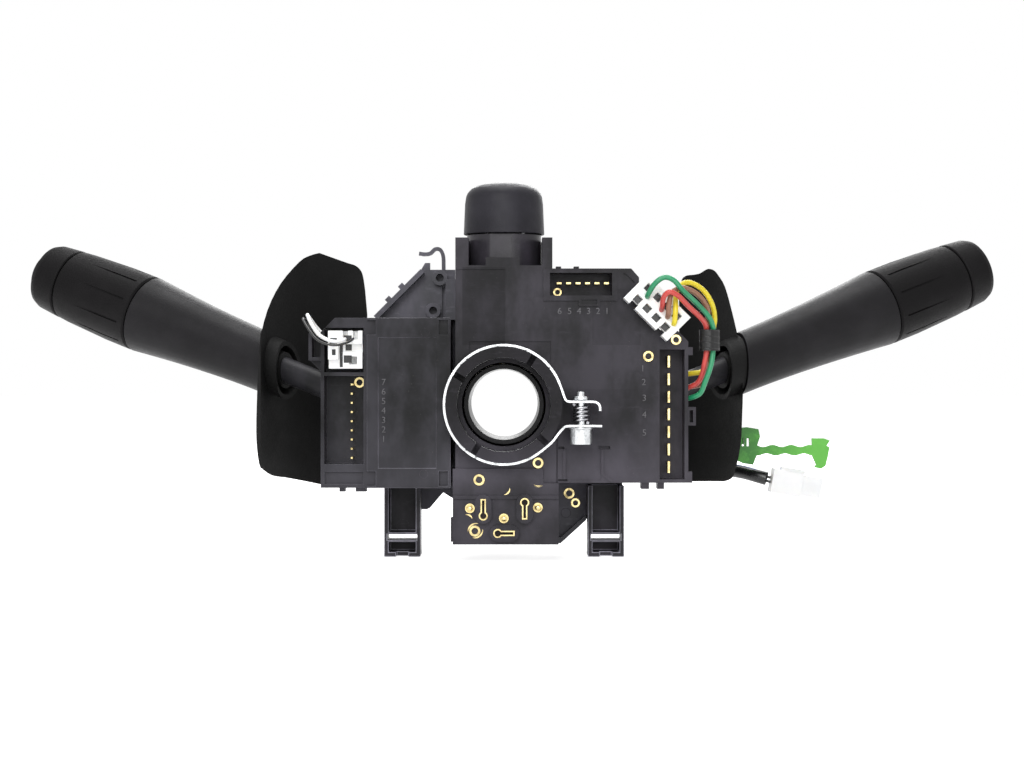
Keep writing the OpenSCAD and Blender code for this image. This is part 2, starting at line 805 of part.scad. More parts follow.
module brass_eyelets() {
    color("gold") {
        for (e = eyelets)
            difference() {
                rod_y(e.x, e.y, e.z, e[3] - 0.7, e[3]);
                rod_y(e.x, e.y, e.z * 0.6, e[3] - 1.7, e[3] + 1);
            }
        for (v = rivets)
            translate([v.x, -1, v.y])
                rotate([90, 0, 0])
                    rotate_extrude()
                        polygon(v.z * [[0, 0], [1, 0], [1, 0.32], [0.78, 0.32], [0.7, 0.12], [0.62, 0.12],
                                       [0.56, 0.42], [0.34, 0.58], [0, 0.64]]);
    }
}

// Clip leg: a channel open to the rear, with a clip slot at its lower end
module leg(x) {
    half = leg_w / 2;
    inner = half - leg_wall;
    y0 = case_depth - leg_depth;
    difference() {
        slab(y0, case_depth) plate([x - half, -leg_low], [x + half, -wiper_low - gap]);
        slab(y0 - 1, case_depth - leg_wall) {
            plate([x - inner, -leg_low + 9.6], [x + inner, -wiper_low + 2]);
            plate([x - inner, -leg_low + leg_wall], [x + inner, -leg_low + 5.8]);
        }
        slab(y0 - 1, case_depth + 4) plate([x - half + 1.2, -leg_low + 6.6], [x + half - 1.2, -leg_low + 8.8]);
        slab(y0 - 1, y0 + 5) plate([x - 2.4, -leg_low - 1], [x + 2.4, -leg_low + 4.4]);
    }
}

module clip_legs() {
    color("#4a4b4d")
        for (s = [-1, 1])
            leg(s * leg_x);
}

module support_frame() {
    hook = [[-34, 59.9], [-31.6, 59.6], [-29.4, 60], [-27.6, 61.6],
            [-25.6, 61.4], [-24.4, 59], [-24.2, 55], [-24.2, 52]];
    color("#4a4b4d")
        difference() {
            union() {
                slab(case_depth, case_depth + frame_t) {
                    circle(stator_r);
                    for (s = [-1, 1])
                        plate([s * leg_x - leg_w / 2, leg_seat_z], [s * leg_x + leg_w / 2, -20]);
                    // Gusset between the left leg and the ring
                    polygon([[-33, -30], [-33, -42.2], [-30.8, -42.2], [-29.6, -41.6], [-28.6, -40.4],
                             [-24.1, -35.2], [-22, -33]]);
                    // Upper left bracket with its tab, snap bumps and wire hook
                    polygon([[-51.8, 34.8], [-33.2, 53.4], [-31.6, 56.1], [-29.6, 56.1], [-29.6, 53.4],
                             [-19.6, 53.4], [-19.6, 30], [-40, 20]]);
                    for (p = [[-46, 41.4], [-40.8, 46.6]])
                        translate(p) rotate(45) square(2.4, center = true);
                    polygon(strip(smooth(hook, 4), 1.5));
                    // Lower right bracket
                    polygon([[20, -30], [46, -30], [46, -34], [22.4, -55.4], [20, -55.4]]);
                }
                // Bracket ribs, eyes and the pad beside the tower
                slab(case_depth - 5, case_depth + 0.1) {
                    polygon([[-51.8, 34.8], [-33.2, 53.4], [-31.8, 52], [-50.4, 33.4]]);
                    polygon([[20, -55.4], [22.4, -55.4], [32.5, -46.2], [32.5, -44], [22.6, -53], [20, -53]]);
                    plate([-23.2, wiper_top + gap], [-tower_w / 2 - gap, 49.3]);
                }
                for (e = bracket_eyes)
                    rod_y(e.x, e.y, eye_r + 1.4, case_depth - 3, case_depth + 0.1);
            }
            rod_y(0, 0, cam_room, case_depth - 1, case_depth + frame_t + 1);
            for (e = bracket_eyes)
                rod_y(e.x, e.y, eye_r, case_depth - 4, case_depth + frame_t - 0.8);
            slab(case_depth - 1, case_depth + frame_t - 0.8)
                plate([-24.8, wiper_top + gap], [-23.6, 46.5]);
            for (p = screw_places()) {
                rod_y(p.x, p.y, 1.6, case_depth - 1, case_depth + frame_t + 1);
                rod_y(p.x, p.y, 3.1, case_depth + frame_t - 1.7, case_depth + frame_t + 1);
            }
        }
}

// Screws stand in the inner pillars of both carrier covers
function screw_places() = [
    [light_bay[0] + post, light_bay[1] + post], [light_bay[0] + post, light_bay[3] - post],
    [-wiper_bay[0] - post, wiper_bay[1] + post], [-wiper_bay[0] - post, wiper_bay[3] - post]
];

module case_screws() {
    top = case_depth + frame_t - 0.1;
    color("silver")
        for (p = screw_places())
            difference() {
                union() {
                    rod_y(p.x, p.y, 3, top - 1.6, top);
                    rod_y(p.x, p.y, 1.45, cover_y - 6, top - 1.5);
                }
                rod_y(p.x, p.y, 1.2, top - 1, top + 1);
            }
}

module hazard_barrel() {
    color("#222224")
        translate([0, hazard_y, 0])
            difference() {
                translate([0, 0, barrel_low])
                    cylinder(r = barrel_r, h = cap_low - 0.4 - barrel_low);
                translate([0, 0, barrel_low - 1])
                    cylinder(r = barrel_r - 2, h = cap_low - 5.4 - barrel_low);
                cylinder(r = stem_r + running, h = 80);
                // Flat on the rear side
                translate([-9.6, -barrel_r - 1, tower_face_top])
                    cube([12.6, 1.9, 20]);
            }
}

module hazard_switch_block() {
    top = barrel_low + hazard_travel - 1.4;
    color("#3c3c3f")
        difference() {
            block([-8.5, hazard_y - 8.5, cam_room + 4], [8.5, hazard_y + 8.5, top]);
            block([-stem_r - gap, hazard_y - stem_r - gap, top - hazard_travel],
                  [stem_r + gap, hazard_y + stem_r + gap, top + 1]);
        }
}

module hazard_spring() {
    wire = 0.6;
    top = cap_low + hazard_h - 2.7;
    color("silver")
        translate([0, hazard_y, cap_low - 0.4 + wire])
            sweep(coil(7.4, top - cap_low + 0.4 - 2 * wire, 6), wire, 6);
}

// Hollow button that slides over the barrel, with its stem
module hazard_button() {
    inner = hazard_r - hazard_wall;
    color("#1f1f21")
        translate([0, hazard_y, cap_low]) {
            rotate_extrude($fn = 72)
                polygon([
                    [inner, 0], [hazard_r, 0], [hazard_r - 0.5, hazard_h - 8.4],
                    [hazard_r - 0.9, hazard_h - 5.6], [hazard_r - 1.5, hazard_h - 4.1],
                    [hazard_r - 2.8, hazard_h - 2.6], [hazard_r - 5.2, hazard_h - 1.3],
                    [hazard_r - 8.6, hazard_h - 0.5], [0, hazard_h],
                    [0, hazard_h - 1.8], [hazard_r - 7.2, hazard_h - 2.4], [inner - 2.4, hazard_h - 4.4],
                    [inner - 0.9, hazard_h - 6.4], [inner - 0.35, hazard_h - 9]
                ]);
            translate([0, 0, barrel_low + hazard_travel - 0.4 - cap_low])
                cylinder(r = stem_r, h = cap_low - barrel_low - hazard_travel + hazard_h - 1.2);
        }
}

// Clock spring: the stator stands on the support frame and carries the leads' outlet
module clock_spring_stator() {
    y0 = case_depth + frame_t;
    color("#27272a")
        difference() {
            union() {
                rod_y(0, 0, stator_r, y0, stator_top - ring_t);
                // Outlet of the conduit
                block([33, stator_y + 6, -30], [46, stator_y + 17, -20]);
            }
            rod_y(0, 0, stator_r - stator_wall, y0 + stator_wall, stator_top);
            rod_y(0, 0, sleeve_r + 0.8, y0 - 1, stator_top);
            block([30, stator_y + 8, -28], [44.4, stator_y + 15, -22]);
            // Slot of the locking strap
            block([stator_r - 4, stator_y + 9, -17.2], [stator_r + 2, stator_y + 13, -12.8]);
        }
}

module clock_spring_ribbon() {
    r0 = sleeve_r + 6;
    pitch = (stator_r - stator_wall - 3 - r0) / ribbon_turns;
    n = 24;
    function turn(i, r) = let (q = r + pitch * i / n) [q * cos(360 * i / n), q * sin(360 * i / n)];
    color("darkgoldenrod")
        slab(stator_y + stator_wall + 0.3, stator_top - 7)
            polygon(concat(
                [for (i = [0 : n * ribbon_turns]) turn(i, r0)],
                [for (i = [n * ribbon_turns : -1 : 0]) turn(i, r0 + 0.5)]
            ));
}

module clock_spring_ring() {
    color("#27272a")
        difference() {
            rod_y(0, 0, stator_r, stator_top - ring_t, stator_top);
            rod_y(0, 0, stator_r - 5, stator_top - ring_t - 1, stator_top + 1);
        }
}

module clock_spring_rotor() {
    disc_y = stator_top - ring_t - gap - 2;
    color("#38383b")
        difference() {
            union() {
                rod_y(0, 0, stator_r - stator_wall - gap, disc_y, disc_y + 2);
                rod_y(0, 0, stator_r - 6, disc_y + 1, stator_top + 0.6);
                rod_y(0, 0, sleeve_r, 6, stator_top + 1.6);
                // Driving lugs and the wheel side connector
                for (s = [-1, 1])
                    rod_y(s * 26, 0, 3.2, stator_top, stator_top + lug_h);
                difference() {
                    block([-9, stator_top, 19], [9, stator_top + 9, 31]);
                    block([-7.6, stator_top + 2, 20.4], [7.6, stator_top + 10, 29.6]);
                }
            }
            rod_y(0, 0, shaft_bore_r, 0, stator_top + 12);
        }
}

// Cam ring on the rotor's sleeve with two opposite lobes
module cancel_cam() {
    color("ivory")
        slab(cam_y, cam_y + cam_t)
            difference() {
                union() {
                    circle(sleeve_r + 1.9);
                    for (a = [90, 270])
                        rotate(a)
                            polygon([[sleeve_r, -5.5], [cam_r - 0.4, -2.2], [cam_r, 0],
                                     [cam_r - 0.4, 2.2], [sleeve_r, 5.5]]);
                }
                circle(sleeve_r + running);
            }
}

// Pawl that the cam strikes to cancel a turn signal
module cancel_pawl() {
    tip = cam_room + 2.2 - pivot_x;
    color("ivory")
        at_pivot(1)
            difference() {
                union() {
                    block([tip, 6.4, -3], [-14.6, 10, 3]);
                    rod_y(-16.4, 0, 2.2, 5.7, 6.6);
                }
                rod_y(-16.4, 0, 1, 4, 11);
            }
}

// Rocker on two trunnions, which holds the lever between its plates
module carrier() {
    difference() {
        union() {
            block([-carrier_w, -web_out, -carrier_h], [carrier_w, -web_out + web_t, carrier_h]);
            block([-carrier_w, web_out - web_t, -carrier_h], [4.5, web_out, carrier_h]);
            block([-carrier_w, -web_out, carrier_h - web_t], [7, web_out, carrier_h]);
            block([-carrier_w, -web_out, -carrier_h], [carrier_w, web_out, -carrier_h + web_t]);
            rod_y(0, 0, boss_r, bearing_y - pivot_y, -web_out + 0.1);
            rod_y(0, 0, boss_r, web_out - 0.1, cover_y + bearing_t - pivot_y);
        }
        translate([0, 0, -carrier_h - 1])
            cylinder(r = stub_r + running, h = 2 * carrier_h + 2);
    }
}

// Lever on stubs in the carrier: tail with the plunger's bore, arm along the stalk
module lever() {
    inner = carrier_h - web_t - 0.3;
    difference() {
        union() {
            translate([0, 0, -inner])
                cylinder(r = hub_r, h = 2 * inner);
            translate([0, 0, -carrier_h + 0.2])
                cylinder(r = stub_r, h = 2 * carrier_h - 0.4);
            block([-tail_len, -3, -4], [0, 3, 4]);
            along_stalk()
                cylinder(r = arm_r, h = arm_end);
        }
        rotate([0, -90, 0])
            cylinder(r = 2, h = 30);
    }
}

module detent_plunger() {
    rotate([0, -90, 0]) {
        translate([0, 0, 4])
            cylinder(r = 2 - running, h = track_r - 0.3 - 2 + running - 4);
        translate([0, 0, track_r - 0.3 - 2 + running])
            sphere(r = 2 - running, $fn = 32);
    }
}

// Outlines of the flaps in x and z about the pivot, with +x outwards: the curved side, then the rest
wiper_flap_outline = concat(
    smooth([[30.9, 64.6], [34.4, 63.4], [38.5, 60.5], [45, 51.2], [49.1, 39.9], [50.9, 26], [51.8, 9],
            [52.2, -8], [51.5, -18.2], [50.1, -23], [47.6, -25.8], [44, -26.8]], 3),
    [[29.8, -30.6], [12, -30.6], [12, 39.7]],
    smooth([[12.9, 50], [13.8, 55.8], [15, 58.4], [17, 60], [20, 60.9], [30.9, 64.6]], 3)
);
light_flap_outline = concat(
    smooth([[27.6, 52.4], [28.4, 54.4], [30, 55.4], [32.5, 55.6], [34.8, 56], [36.6, 57.1], [38.2, 57.7],
            [40.2, 56.9], [41.8, 54.6], [44, 50], [46.3, 40], [48.4, 27.5], [49.5, 12], [49.4, -1.3],
            [48.9, -14], [47.2, -24.6], [45.8, -27.4], [43.6, -28.5]], 3),
    [[27, -29.4], [27, 50]]
);

module flap(drawn) {
    outline = drawn * (flap_r / flap_drawn_r);
    module shell(r0, r1) {
        translate([0, 0, -60])
            difference() {
                cylinder(r = r1, h = 160, $fn = 96);
                translate([0, 0, -1])
                    cylinder(r = r0, h = 162, $fn = 96);
            }
    }
    difference() {
        union() {
            intersection() {
                shell(flap_r - flap_t, flap_r);
                slab(1.5, flap_r + 2) polygon(outline);
            }
            intersection() {
                shell(flap_r - flap_t - 5, flap_r - 0.4);
                along_stalk()
                    difference() {
                        cylinder(r = flap_boss_r, h = flap_r + 20);
                        difference() {
                            cylinder(r = flap_boss_r - 1.8, h = flap_r + 20);
                            cylinder(r = arm_r + 1.8, h = flap_r + 20);
                        }
                    }
            }
        }
        along_stalk()
            cylinder(r = arm_r + running, h = flap_r + 30);
    }
}

// Radius of the tube at a share t of its length
function tube_r(t) = tube_root_r + (seam_r - tube_root_r) * pow(t, 1.6);

module stalk_tube(extra = 0) {
    end = tube_end + extra;
    s0 = flap_r - 10;
    taper_s = flap_r + 6;
    steps = 10;
    hollow = arm_end + 4;
    difference() {
        along_stalk()
            difference() {
                rotate_extrude($fn = 72)
                    polygon(concat(
                        [[0, s0]],
                        [[tube_root_r, s0]],
                        [for (i = [0 : steps])
                            [tube_r(i / steps), taper_s + (end - 0.7 - taper_s) * i / steps]],
                        [[seam_r - 0.7, end], [0, end]]
                    ));
                cylinder(r = arm_r + running, h = arm_end + 0.1);
                translate([0, 0, hollow])
                    cylinder(r1 = tube_root_r - stalk_wall, r2 = seam_r - stalk_wall, h = end + 0.1 - hollow);
            }
        translate([0, 0, -60])
            cylinder(r = flap_r, h = 160, $fn = 96);
    }
}

// Core that carries the turning grip and the end cap
module spindle(extra = 0) {
    s0 = tube_end + extra;
    s1 = stalk_len + extra - cap_len + cap_seat;
    along_stalk() {
        translate([0, 0, s0 - 16])
            cylinder(r = spindle_r, h = s1 - s0 + 16);
        translate([0, 0, s0 - 4])
            cylinder(r = seam_r - stalk_wall - 0.9, h = 3.6);
    }
}

// Grooved grip that turns about the spindle
module grip(extra = 0) {
    s0 = tube_end + extra + gap;
    s1 = stalk_len + extra - cap_len - gap;
    bore = spindle_r + running;
    along_stalk()
        difference() {
            rotate_extrude($fn = 72)
                polygon([
                    [bore, s0], [seam_r - 0.7, s0], [seam_r, s0 + 0.7], [seam_r, (s0 + s1) / 2 - 6],
                    [cap_seam_r + 0.4, s1 - 5], [cap_seam_r, s1 - 0.6], [cap_seam_r - 0.6, s1],
                    [cap_seam_r - stalk_wall, s1], [cap_seam_r - stalk_wall, s1 - 3], [bore, s1 - 3],
                    [bore, s1 - 6], [cap_seam_r - stalk_wall, s1 - 6], [seam_r - stalk_wall, s0 + 6],
                    [seam_r - stalk_wall, s0 + 3], [bore, s0 + 3]
                ]);
            for (k = [0 : groove_n - 1])
                rotate([0, 0, 360 * k / groove_n])
                    translate([seam_r - 0.55, -0.4, s0 + 3])
                        cube([2, 0.8, s1 - s0 - 5]);
        }
}

module end_cap(hollow, extra = 0) {
    end = stalk_len + extra;
    s0 = end - cap_len;
    seat = s0 + cap_seat;
    along_stalk()
        difference() {
            rotate_extrude($fn = 72)
                polygon([
                    [0, s0], [cap_seam_r - 0.6, s0], [cap_seam_r, s0 + 0.6], [tip_r + 0.2, end - 4],
                    [tip_r - 0.8, end - 1.6], [tip_r - 2.6, end - 0.4], [tip_r - 4.4, end], [0, end]
                ]);
            translate([0, 0, s0 - 1])
                cylinder(r = spindle_r + running, h = seat - s0 + 1);
            if (hollow)
                translate([0, 0, seat + 1.6])
                    cylinder(r = tip_r - 4, h = cap_len);
        }
}

module wiper_carrier() { color("ivory") at_pivot(-1) carrier(); }
module light_carrier() { color("ivory") at_pivot(1) carrier(); }
module wiper_lever() { color("#3a3a3c") at_pivot(-1) lever(); }
module light_lever() { color("#3a3a3c") at_pivot(1) lever(); }
module wiper_detent_plunger() { color("ivory") at_pivot(-1) detent_plunger(); }
module light_detent_plunger() { color("ivory") at_pivot(1) detent_plunger(); }
module wiper_flap() { color("#1d1d1f") at_pivot(-1) flap(wiper_flap_outline); }
module light_flap() { color("#1d1d1f") at_pivot(1) flap(light_flap_outline); }
module wiper_tube() { color("#262628") at_pivot(-1) stalk_tube(); }
module light_tube() { color("#262628") at_pivot(1) stalk_tube(light_extra); }
module wiper_spindle() { color("#3a3a3c") at_pivot(-1) spindle(); }
module light_spindle() { color("#3a3a3c") at_pivot(1) spindle(light_extra); }
module wiper_grip() { color("#242426") at_pivot(-1) grip(); }
module light_grip() { color("#242426") at_pivot(1) grip(light_extra); }
module wiper_end_cap() { color("#262628") at_pivot(-1) end_cap(true); }
module light_end_cap() { color("#262628") at_pivot(1) end_cap(false, light_extra); }

// Push button in the end of the wiper stalk
module wiper_end_button() {
    s0 = stalk_len - cap_len + cap_seat + 1.6 + button_travel + 0.3;
    color("#303032")
        at_pivot(-1)
            along_stalk()
                rotate_extrude()
                    polygon([
                        [0, s0], [tip_r - 4 - running, s0], [tip_r - 4 - running, stalk_len + 0.8],
                        [tip_r - 5, stalk_len + 1.6], [0, stalk_len + 2]
                    ]);
}

// White three-way plug in the wiper case's upper well
module wiper_plug() {
    x0 = -66.6;
    z0 = plug_low_z;
    color("white")
        difference() {
            union() {
                block([x0, 0.4, z0], [-53.6, well_depth, z0 + 14.4]);
                // Raised frame, open at its lower middle
                block([x0, -3, z0 + 3.4], [x0 + 4, 0.5, z0 + 14.4]);
                block([x0, -3, z0 + 9.4], [-53.6, 0.5, z0 + 14.4]);
                block([x0 + 5.6, -3, z0], [-53.6, 0.5, z0 + 6.4]);
            }
            block([x0 + 5.6, -4, z0 + 11], [x0 + 7.6, 3, z0 + 15]);
            block([x0 + 9.4, -4, z0 + 11], [x0 + 11.4, 3, z0 + 15]);
            block([x0 + 8, -4, z0 + 1.6], [x0 + 11, 3, z0 + 4.6]);
        }
}

white_route = [[-60, -2.4, 25], [-61.4, -5, 24], [-65, -6.4, 24], [-69.6, -5, 26.2], [-73, -1, 30.4],
               [-75, 4, 34], [-74.8, 8, 33.4], [-72.4, 10.4, 29.8], [-wiper_out_x + 0.6, 11, 26]];
dark_route = [[-57, -2.4, 25], [-59, -6.8, 23.4], [-64, -8.4, 22.4], [-70, -6.8, 24.2], [-74.6, -2.4, 29.4],
              [-76.6, 2.6, 32.6], [-75.6, 7.4, 31.8], [-72.4, 9.4, 26.4], [-wiper_out_x + 0.6, 9.6, 23.2]];

module white_lead() { color("white") sweep(smooth(white_route, 3), 0.7); }
module dark_lead() { color("#333333") sweep(smooth(dark_route, 3), 0.45, 6); }

// White eight-way plug, fixed at a slant to the upper corner of the light switch case
plug_mid = [57.7, 36.5];
plug_size = [23, 12.5];
module loom_plug() {
    color("white")
        difference() {
            slab(-9, -0.05)
                translate(plug_mid)
                    rotate(-45)
                        difference() {
                            translate(-plug_size / 2) square(plug_size);
                            translate([-8.6, -plug_size.y / 2 - 1]) square([3, 3]);
                            translate([5.6, -plug_size.y / 2 - 1]) square([3, 3]);
                        }
            slab(-10, -5.5)
                translate(plug_mid)
                    rotate(-45)
                        for (i = [-1.5 : 1 : 1.5])
                            for (j = [-1, 1])
                                translate([i * 4.9 - 1.5, j * 2.9 - 1.4]) square([3, 2.8]);
        }
}

yellow_route = [[63.9, -8.4, 30.2], [64.1, -11, 31.5], [64.4, -11.4, 36.4], [64.8, -8.6, 42], [66.8, -7, 45.2],
                [70.4, -5.6, 46], [75.2, -4, 43.4], [78.8, -1.6, 38.4], [80.2, 0.8, 32.8], [79.5, 1.4, 27],
                [79.4, 1.4, 20.4], [79, 2.6, 16], [77.4, 5.4, 12.8], [light_out_x - 0.6, 8.4, 11.6]];
brown_route = [[61.6, -8.4, 32.9], [61.6, -12.4, 34], [61.8, -13.6, 38], [63, -13.4, 42], [66.4, -11.4, 43.8],
               [70.8, -8.6, 42.8], [74.8, -5.6, 39.8], [77.2, -2.4, 36], [77.4, 0.6, 32], [77, 1.4, 26.6],
               [77, 1.4, 20.4], [76.8, 2.4, 13], [76, 5, 8], [light_out_x - 0.6, 8.6, 6.4]];
green_route = [[54, -8.4, 40.5], [54.2, -12, 41.6], [56.6, -14, 45.4], [60, -14.2, 47.6], [63.6, -14.4, 46.4],
               [66.9, -14.6, 42.6], [73, -8.6, 37.6], [77.6, -4.6, 33], [79.4, -1.6, 29], [79.4, -1, 25],
               [79.4, -1, 20.4], [78.6, -1.6, 15], [76.4, -1.4, 8.6], [74.4, 1, 4], [light_out_x - 0.6, 4.6, 2]];
red_route = [[59.3, -8.4, 35.5], [59.3, -13, 37], [59.6, -16, 40], [61.6, -17.4, 42], [65, -16.4, 40.6],
             [69, -12.6, 37], [73.4, -8, 33.4], [76, -4, 30.8], [77, -1.4, 28], [77, -1, 24.6],
             [77, -1, 20.4], [76.2, -1, 15.6], [75.4, 0.4, 11.4], [73.6, 2.6, 8], [light_out_x - 0.6, 4.6, 6]];

module yellow_wire() { color("gold") sweep(smooth(yellow_route, 2), 1); }
module brown_wire() { color("saddlebrown") sweep(smooth(brown_route, 2), 1); }
module green_wire() { color("seagreen") sweep(smooth(green_route, 2), 1); }
module red_wire() { color("firebrick") sweep(smooth(red_route, 2), 1); }

// Tape wound round the four wires
module tape_sleeve() {
    color("#161616")
        translate([78.2, 0.2, 20.4])
            linear_extrude(8)
                hull()
                    for (s = [-1, 1])
                        translate([s * 0.6, s * 0.5]) circle(r = 3.4, $fn = 32);
}

// Locking strap of the clock spring: flexible arm round the flap, tag and toothed strap
strap_path = [[stator_r - 2, 54], [56, 61], [66, 76.8], [78, 76], [90, 69], [97, 60.8]];
module green_strap() {
    color("green") {
        translate([0, 0, -16.8])
            linear_extrude(3.6)
                for (i = [0 : len(strap_path) - 2])
                    hull()
                        for (q = [strap_path[i], strap_path[i + 1]])
                            translate(q) circle(r = 0.8, $fn = 16);
        slab(59.8, 61.8)
            difference() {
                union() {
                    polygon([[95, -10.2], [99, -9.8], [103.8, -10.6], [104.4, -13.6], [103.4, -17], [103.2, -21],
                             [101.6, -25.2], [97.5, -24.6], [95, -23.4]]);
                    // Wavy arm with its cross-shaped end
                    polygon(concat(
                        [for (i = [0 : 26]) [102 + i * 0.95, -17.5 + 0.45 * cos(45 * i)]],
                        [for (i = [26 : -1 : 0]) [102 + i * 0.95, -21 + 0.45 * cos(45 * i + 120)]]
                    ));
                    polygon([[125.6, -14.4], [130.6, -14.4], [132.9, -15.3], [131.6, -17.4], [132.8, -18],
                             [132.2, -21.6], [131.2, -25.6], [129.4, -26.8], [126.6, -26.2], [127.4, -25.2], [125.8, -21.6]]);
                }
                for (x = [97, 99])
                    plate([x, -17.6], [x + 0.9, -14.4]);
            }
    }
}

conduit_route = [[45, 54.4, -25], [48, 54.8, -25], [53, 59, -25.4], [58, 67, -25.8], [66, 76, -26.2],
                 [78, 77, -26.6], [89, 72.4, -27.2], [98, 66, -28.4], [104, 62.4, -30], [109, 61, -31.4]];
module conduit() { color("#151515") sweep(smooth(conduit_route, 3), 2.8, 12); }

// White two-way plug on the conduit
module conduit_plug() {
    color("white")
        translate([109, 61, -31.4])
            rotate([0, 10, 0])
                difference() {
                    union() {
                        block([0, -5, -4.9], [12.4, 5, 4.9]);
                        block([12, -4.2, -4.1], [20.4, 4.2, 4.1]);
                        block([3, -1.6, 4.8], [13, 1.6, 6.2]);
                    }
                    for (s = [-1, 1])
                        block([13.4, s * 2 - 1.2, -2], [21, s * 2 + 1.2, 2]);
                }
}

main_housing();
clamp_band();
clamp_screw();
clamp_spring();
wiper_case();
wiper_case_cover();
wiper_connector_pins();
light_connector_blades();
top_connector_pins();
wiper_contact_plate();
light_contact_plate();
wiper_bearing_plate();
light_bearing_plate();
wiper_carrier_cover();
light_carrier_cover();
terminal_plate();
keyhole_terminals();
brass_eyelets();
support_frame();
clip_legs();
case_screws();
hazard_barrel();
hazard_switch_block();
hazard_spring();
hazard_button();
clock_spring_stator();
clock_spring_ribbon();
clock_spring_ring();
clock_spring_rotor();
cancel_cam();
cancel_pawl();
wiper_carrier();
wiper_lever();
wiper_detent_plunger();
wiper_flap();
wiper_tube();
wiper_spindle();
wiper_grip();
wiper_end_cap();
wiper_end_button();
light_carrier();
light_lever();
light_detent_plunger();
light_flap();
light_tube();
light_spindle();
light_grip();
light_end_cap();
wiper_plug();
white_lead();
dark_lead();
loom_plug();
yellow_wire();
brown_wire();
green_wire();
red_wire();
tape_sleeve();
green_strap();
conduit();
conduit_plug();
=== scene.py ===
"""Looks of a steering column's combination stalk switch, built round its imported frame.

Lengths are in metres and in the frame's own axes: +X to the right as the camera looks,
+Z up, and -Y towards the camera, which sees the side that faces the steering column.
"""

import logging
import math
from dataclasses import dataclass, replace
from enum import Enum
from typing import Iterable, Sequence

import bmesh
import bpy
from mathutils import Matrix, Vector


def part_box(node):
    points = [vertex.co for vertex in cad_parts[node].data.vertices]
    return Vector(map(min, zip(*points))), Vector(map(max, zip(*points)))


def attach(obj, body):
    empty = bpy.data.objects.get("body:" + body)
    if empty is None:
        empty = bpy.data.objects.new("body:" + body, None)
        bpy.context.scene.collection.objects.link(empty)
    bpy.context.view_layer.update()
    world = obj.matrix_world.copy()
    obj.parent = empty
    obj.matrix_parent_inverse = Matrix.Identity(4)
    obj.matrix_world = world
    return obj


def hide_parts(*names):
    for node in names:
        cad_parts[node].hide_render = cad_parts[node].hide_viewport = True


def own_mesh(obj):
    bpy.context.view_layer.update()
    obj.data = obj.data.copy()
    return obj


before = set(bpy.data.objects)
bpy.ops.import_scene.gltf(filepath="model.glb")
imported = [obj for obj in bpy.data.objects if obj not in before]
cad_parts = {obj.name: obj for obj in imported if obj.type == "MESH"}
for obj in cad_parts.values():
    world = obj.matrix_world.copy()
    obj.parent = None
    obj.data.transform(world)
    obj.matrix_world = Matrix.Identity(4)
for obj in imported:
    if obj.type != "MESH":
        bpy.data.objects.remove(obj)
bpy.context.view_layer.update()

log = logging.getLogger("stalk_switch")
MM = 0.001
UPRIGHT = (math.pi / 2, 0.0, 0.0)

Colour = tuple[float, float, float]
Point = tuple[float, float, float]
Spot = tuple[float, float]
EVEN: Point = (1.0, 1.0, 1.0)
WHITE: Colour = (1.0, 1.0, 1.0)
BLACK: Colour = (0.0, 0.0, 0.0)


def srgb(red: int, green: int, blue: int) -> Colour:
    """Turns a screen colour into the linear values that shaders take.

    Args:
        red: Red from 0 to 255.
        green: Green from 0 to 255.
        blue: Blue from 0 to 255.

    Returns:
        The linear colour.
    """

    def linear(level: int) -> float:
        """Returns one linear channel."""
        share = level / 255
        return share / 12.92 if share <= 0.04045 else ((share + 0.055) / 1.055) ** 2.4

    return linear(red), linear(green), linear(blue)


# Shader maths


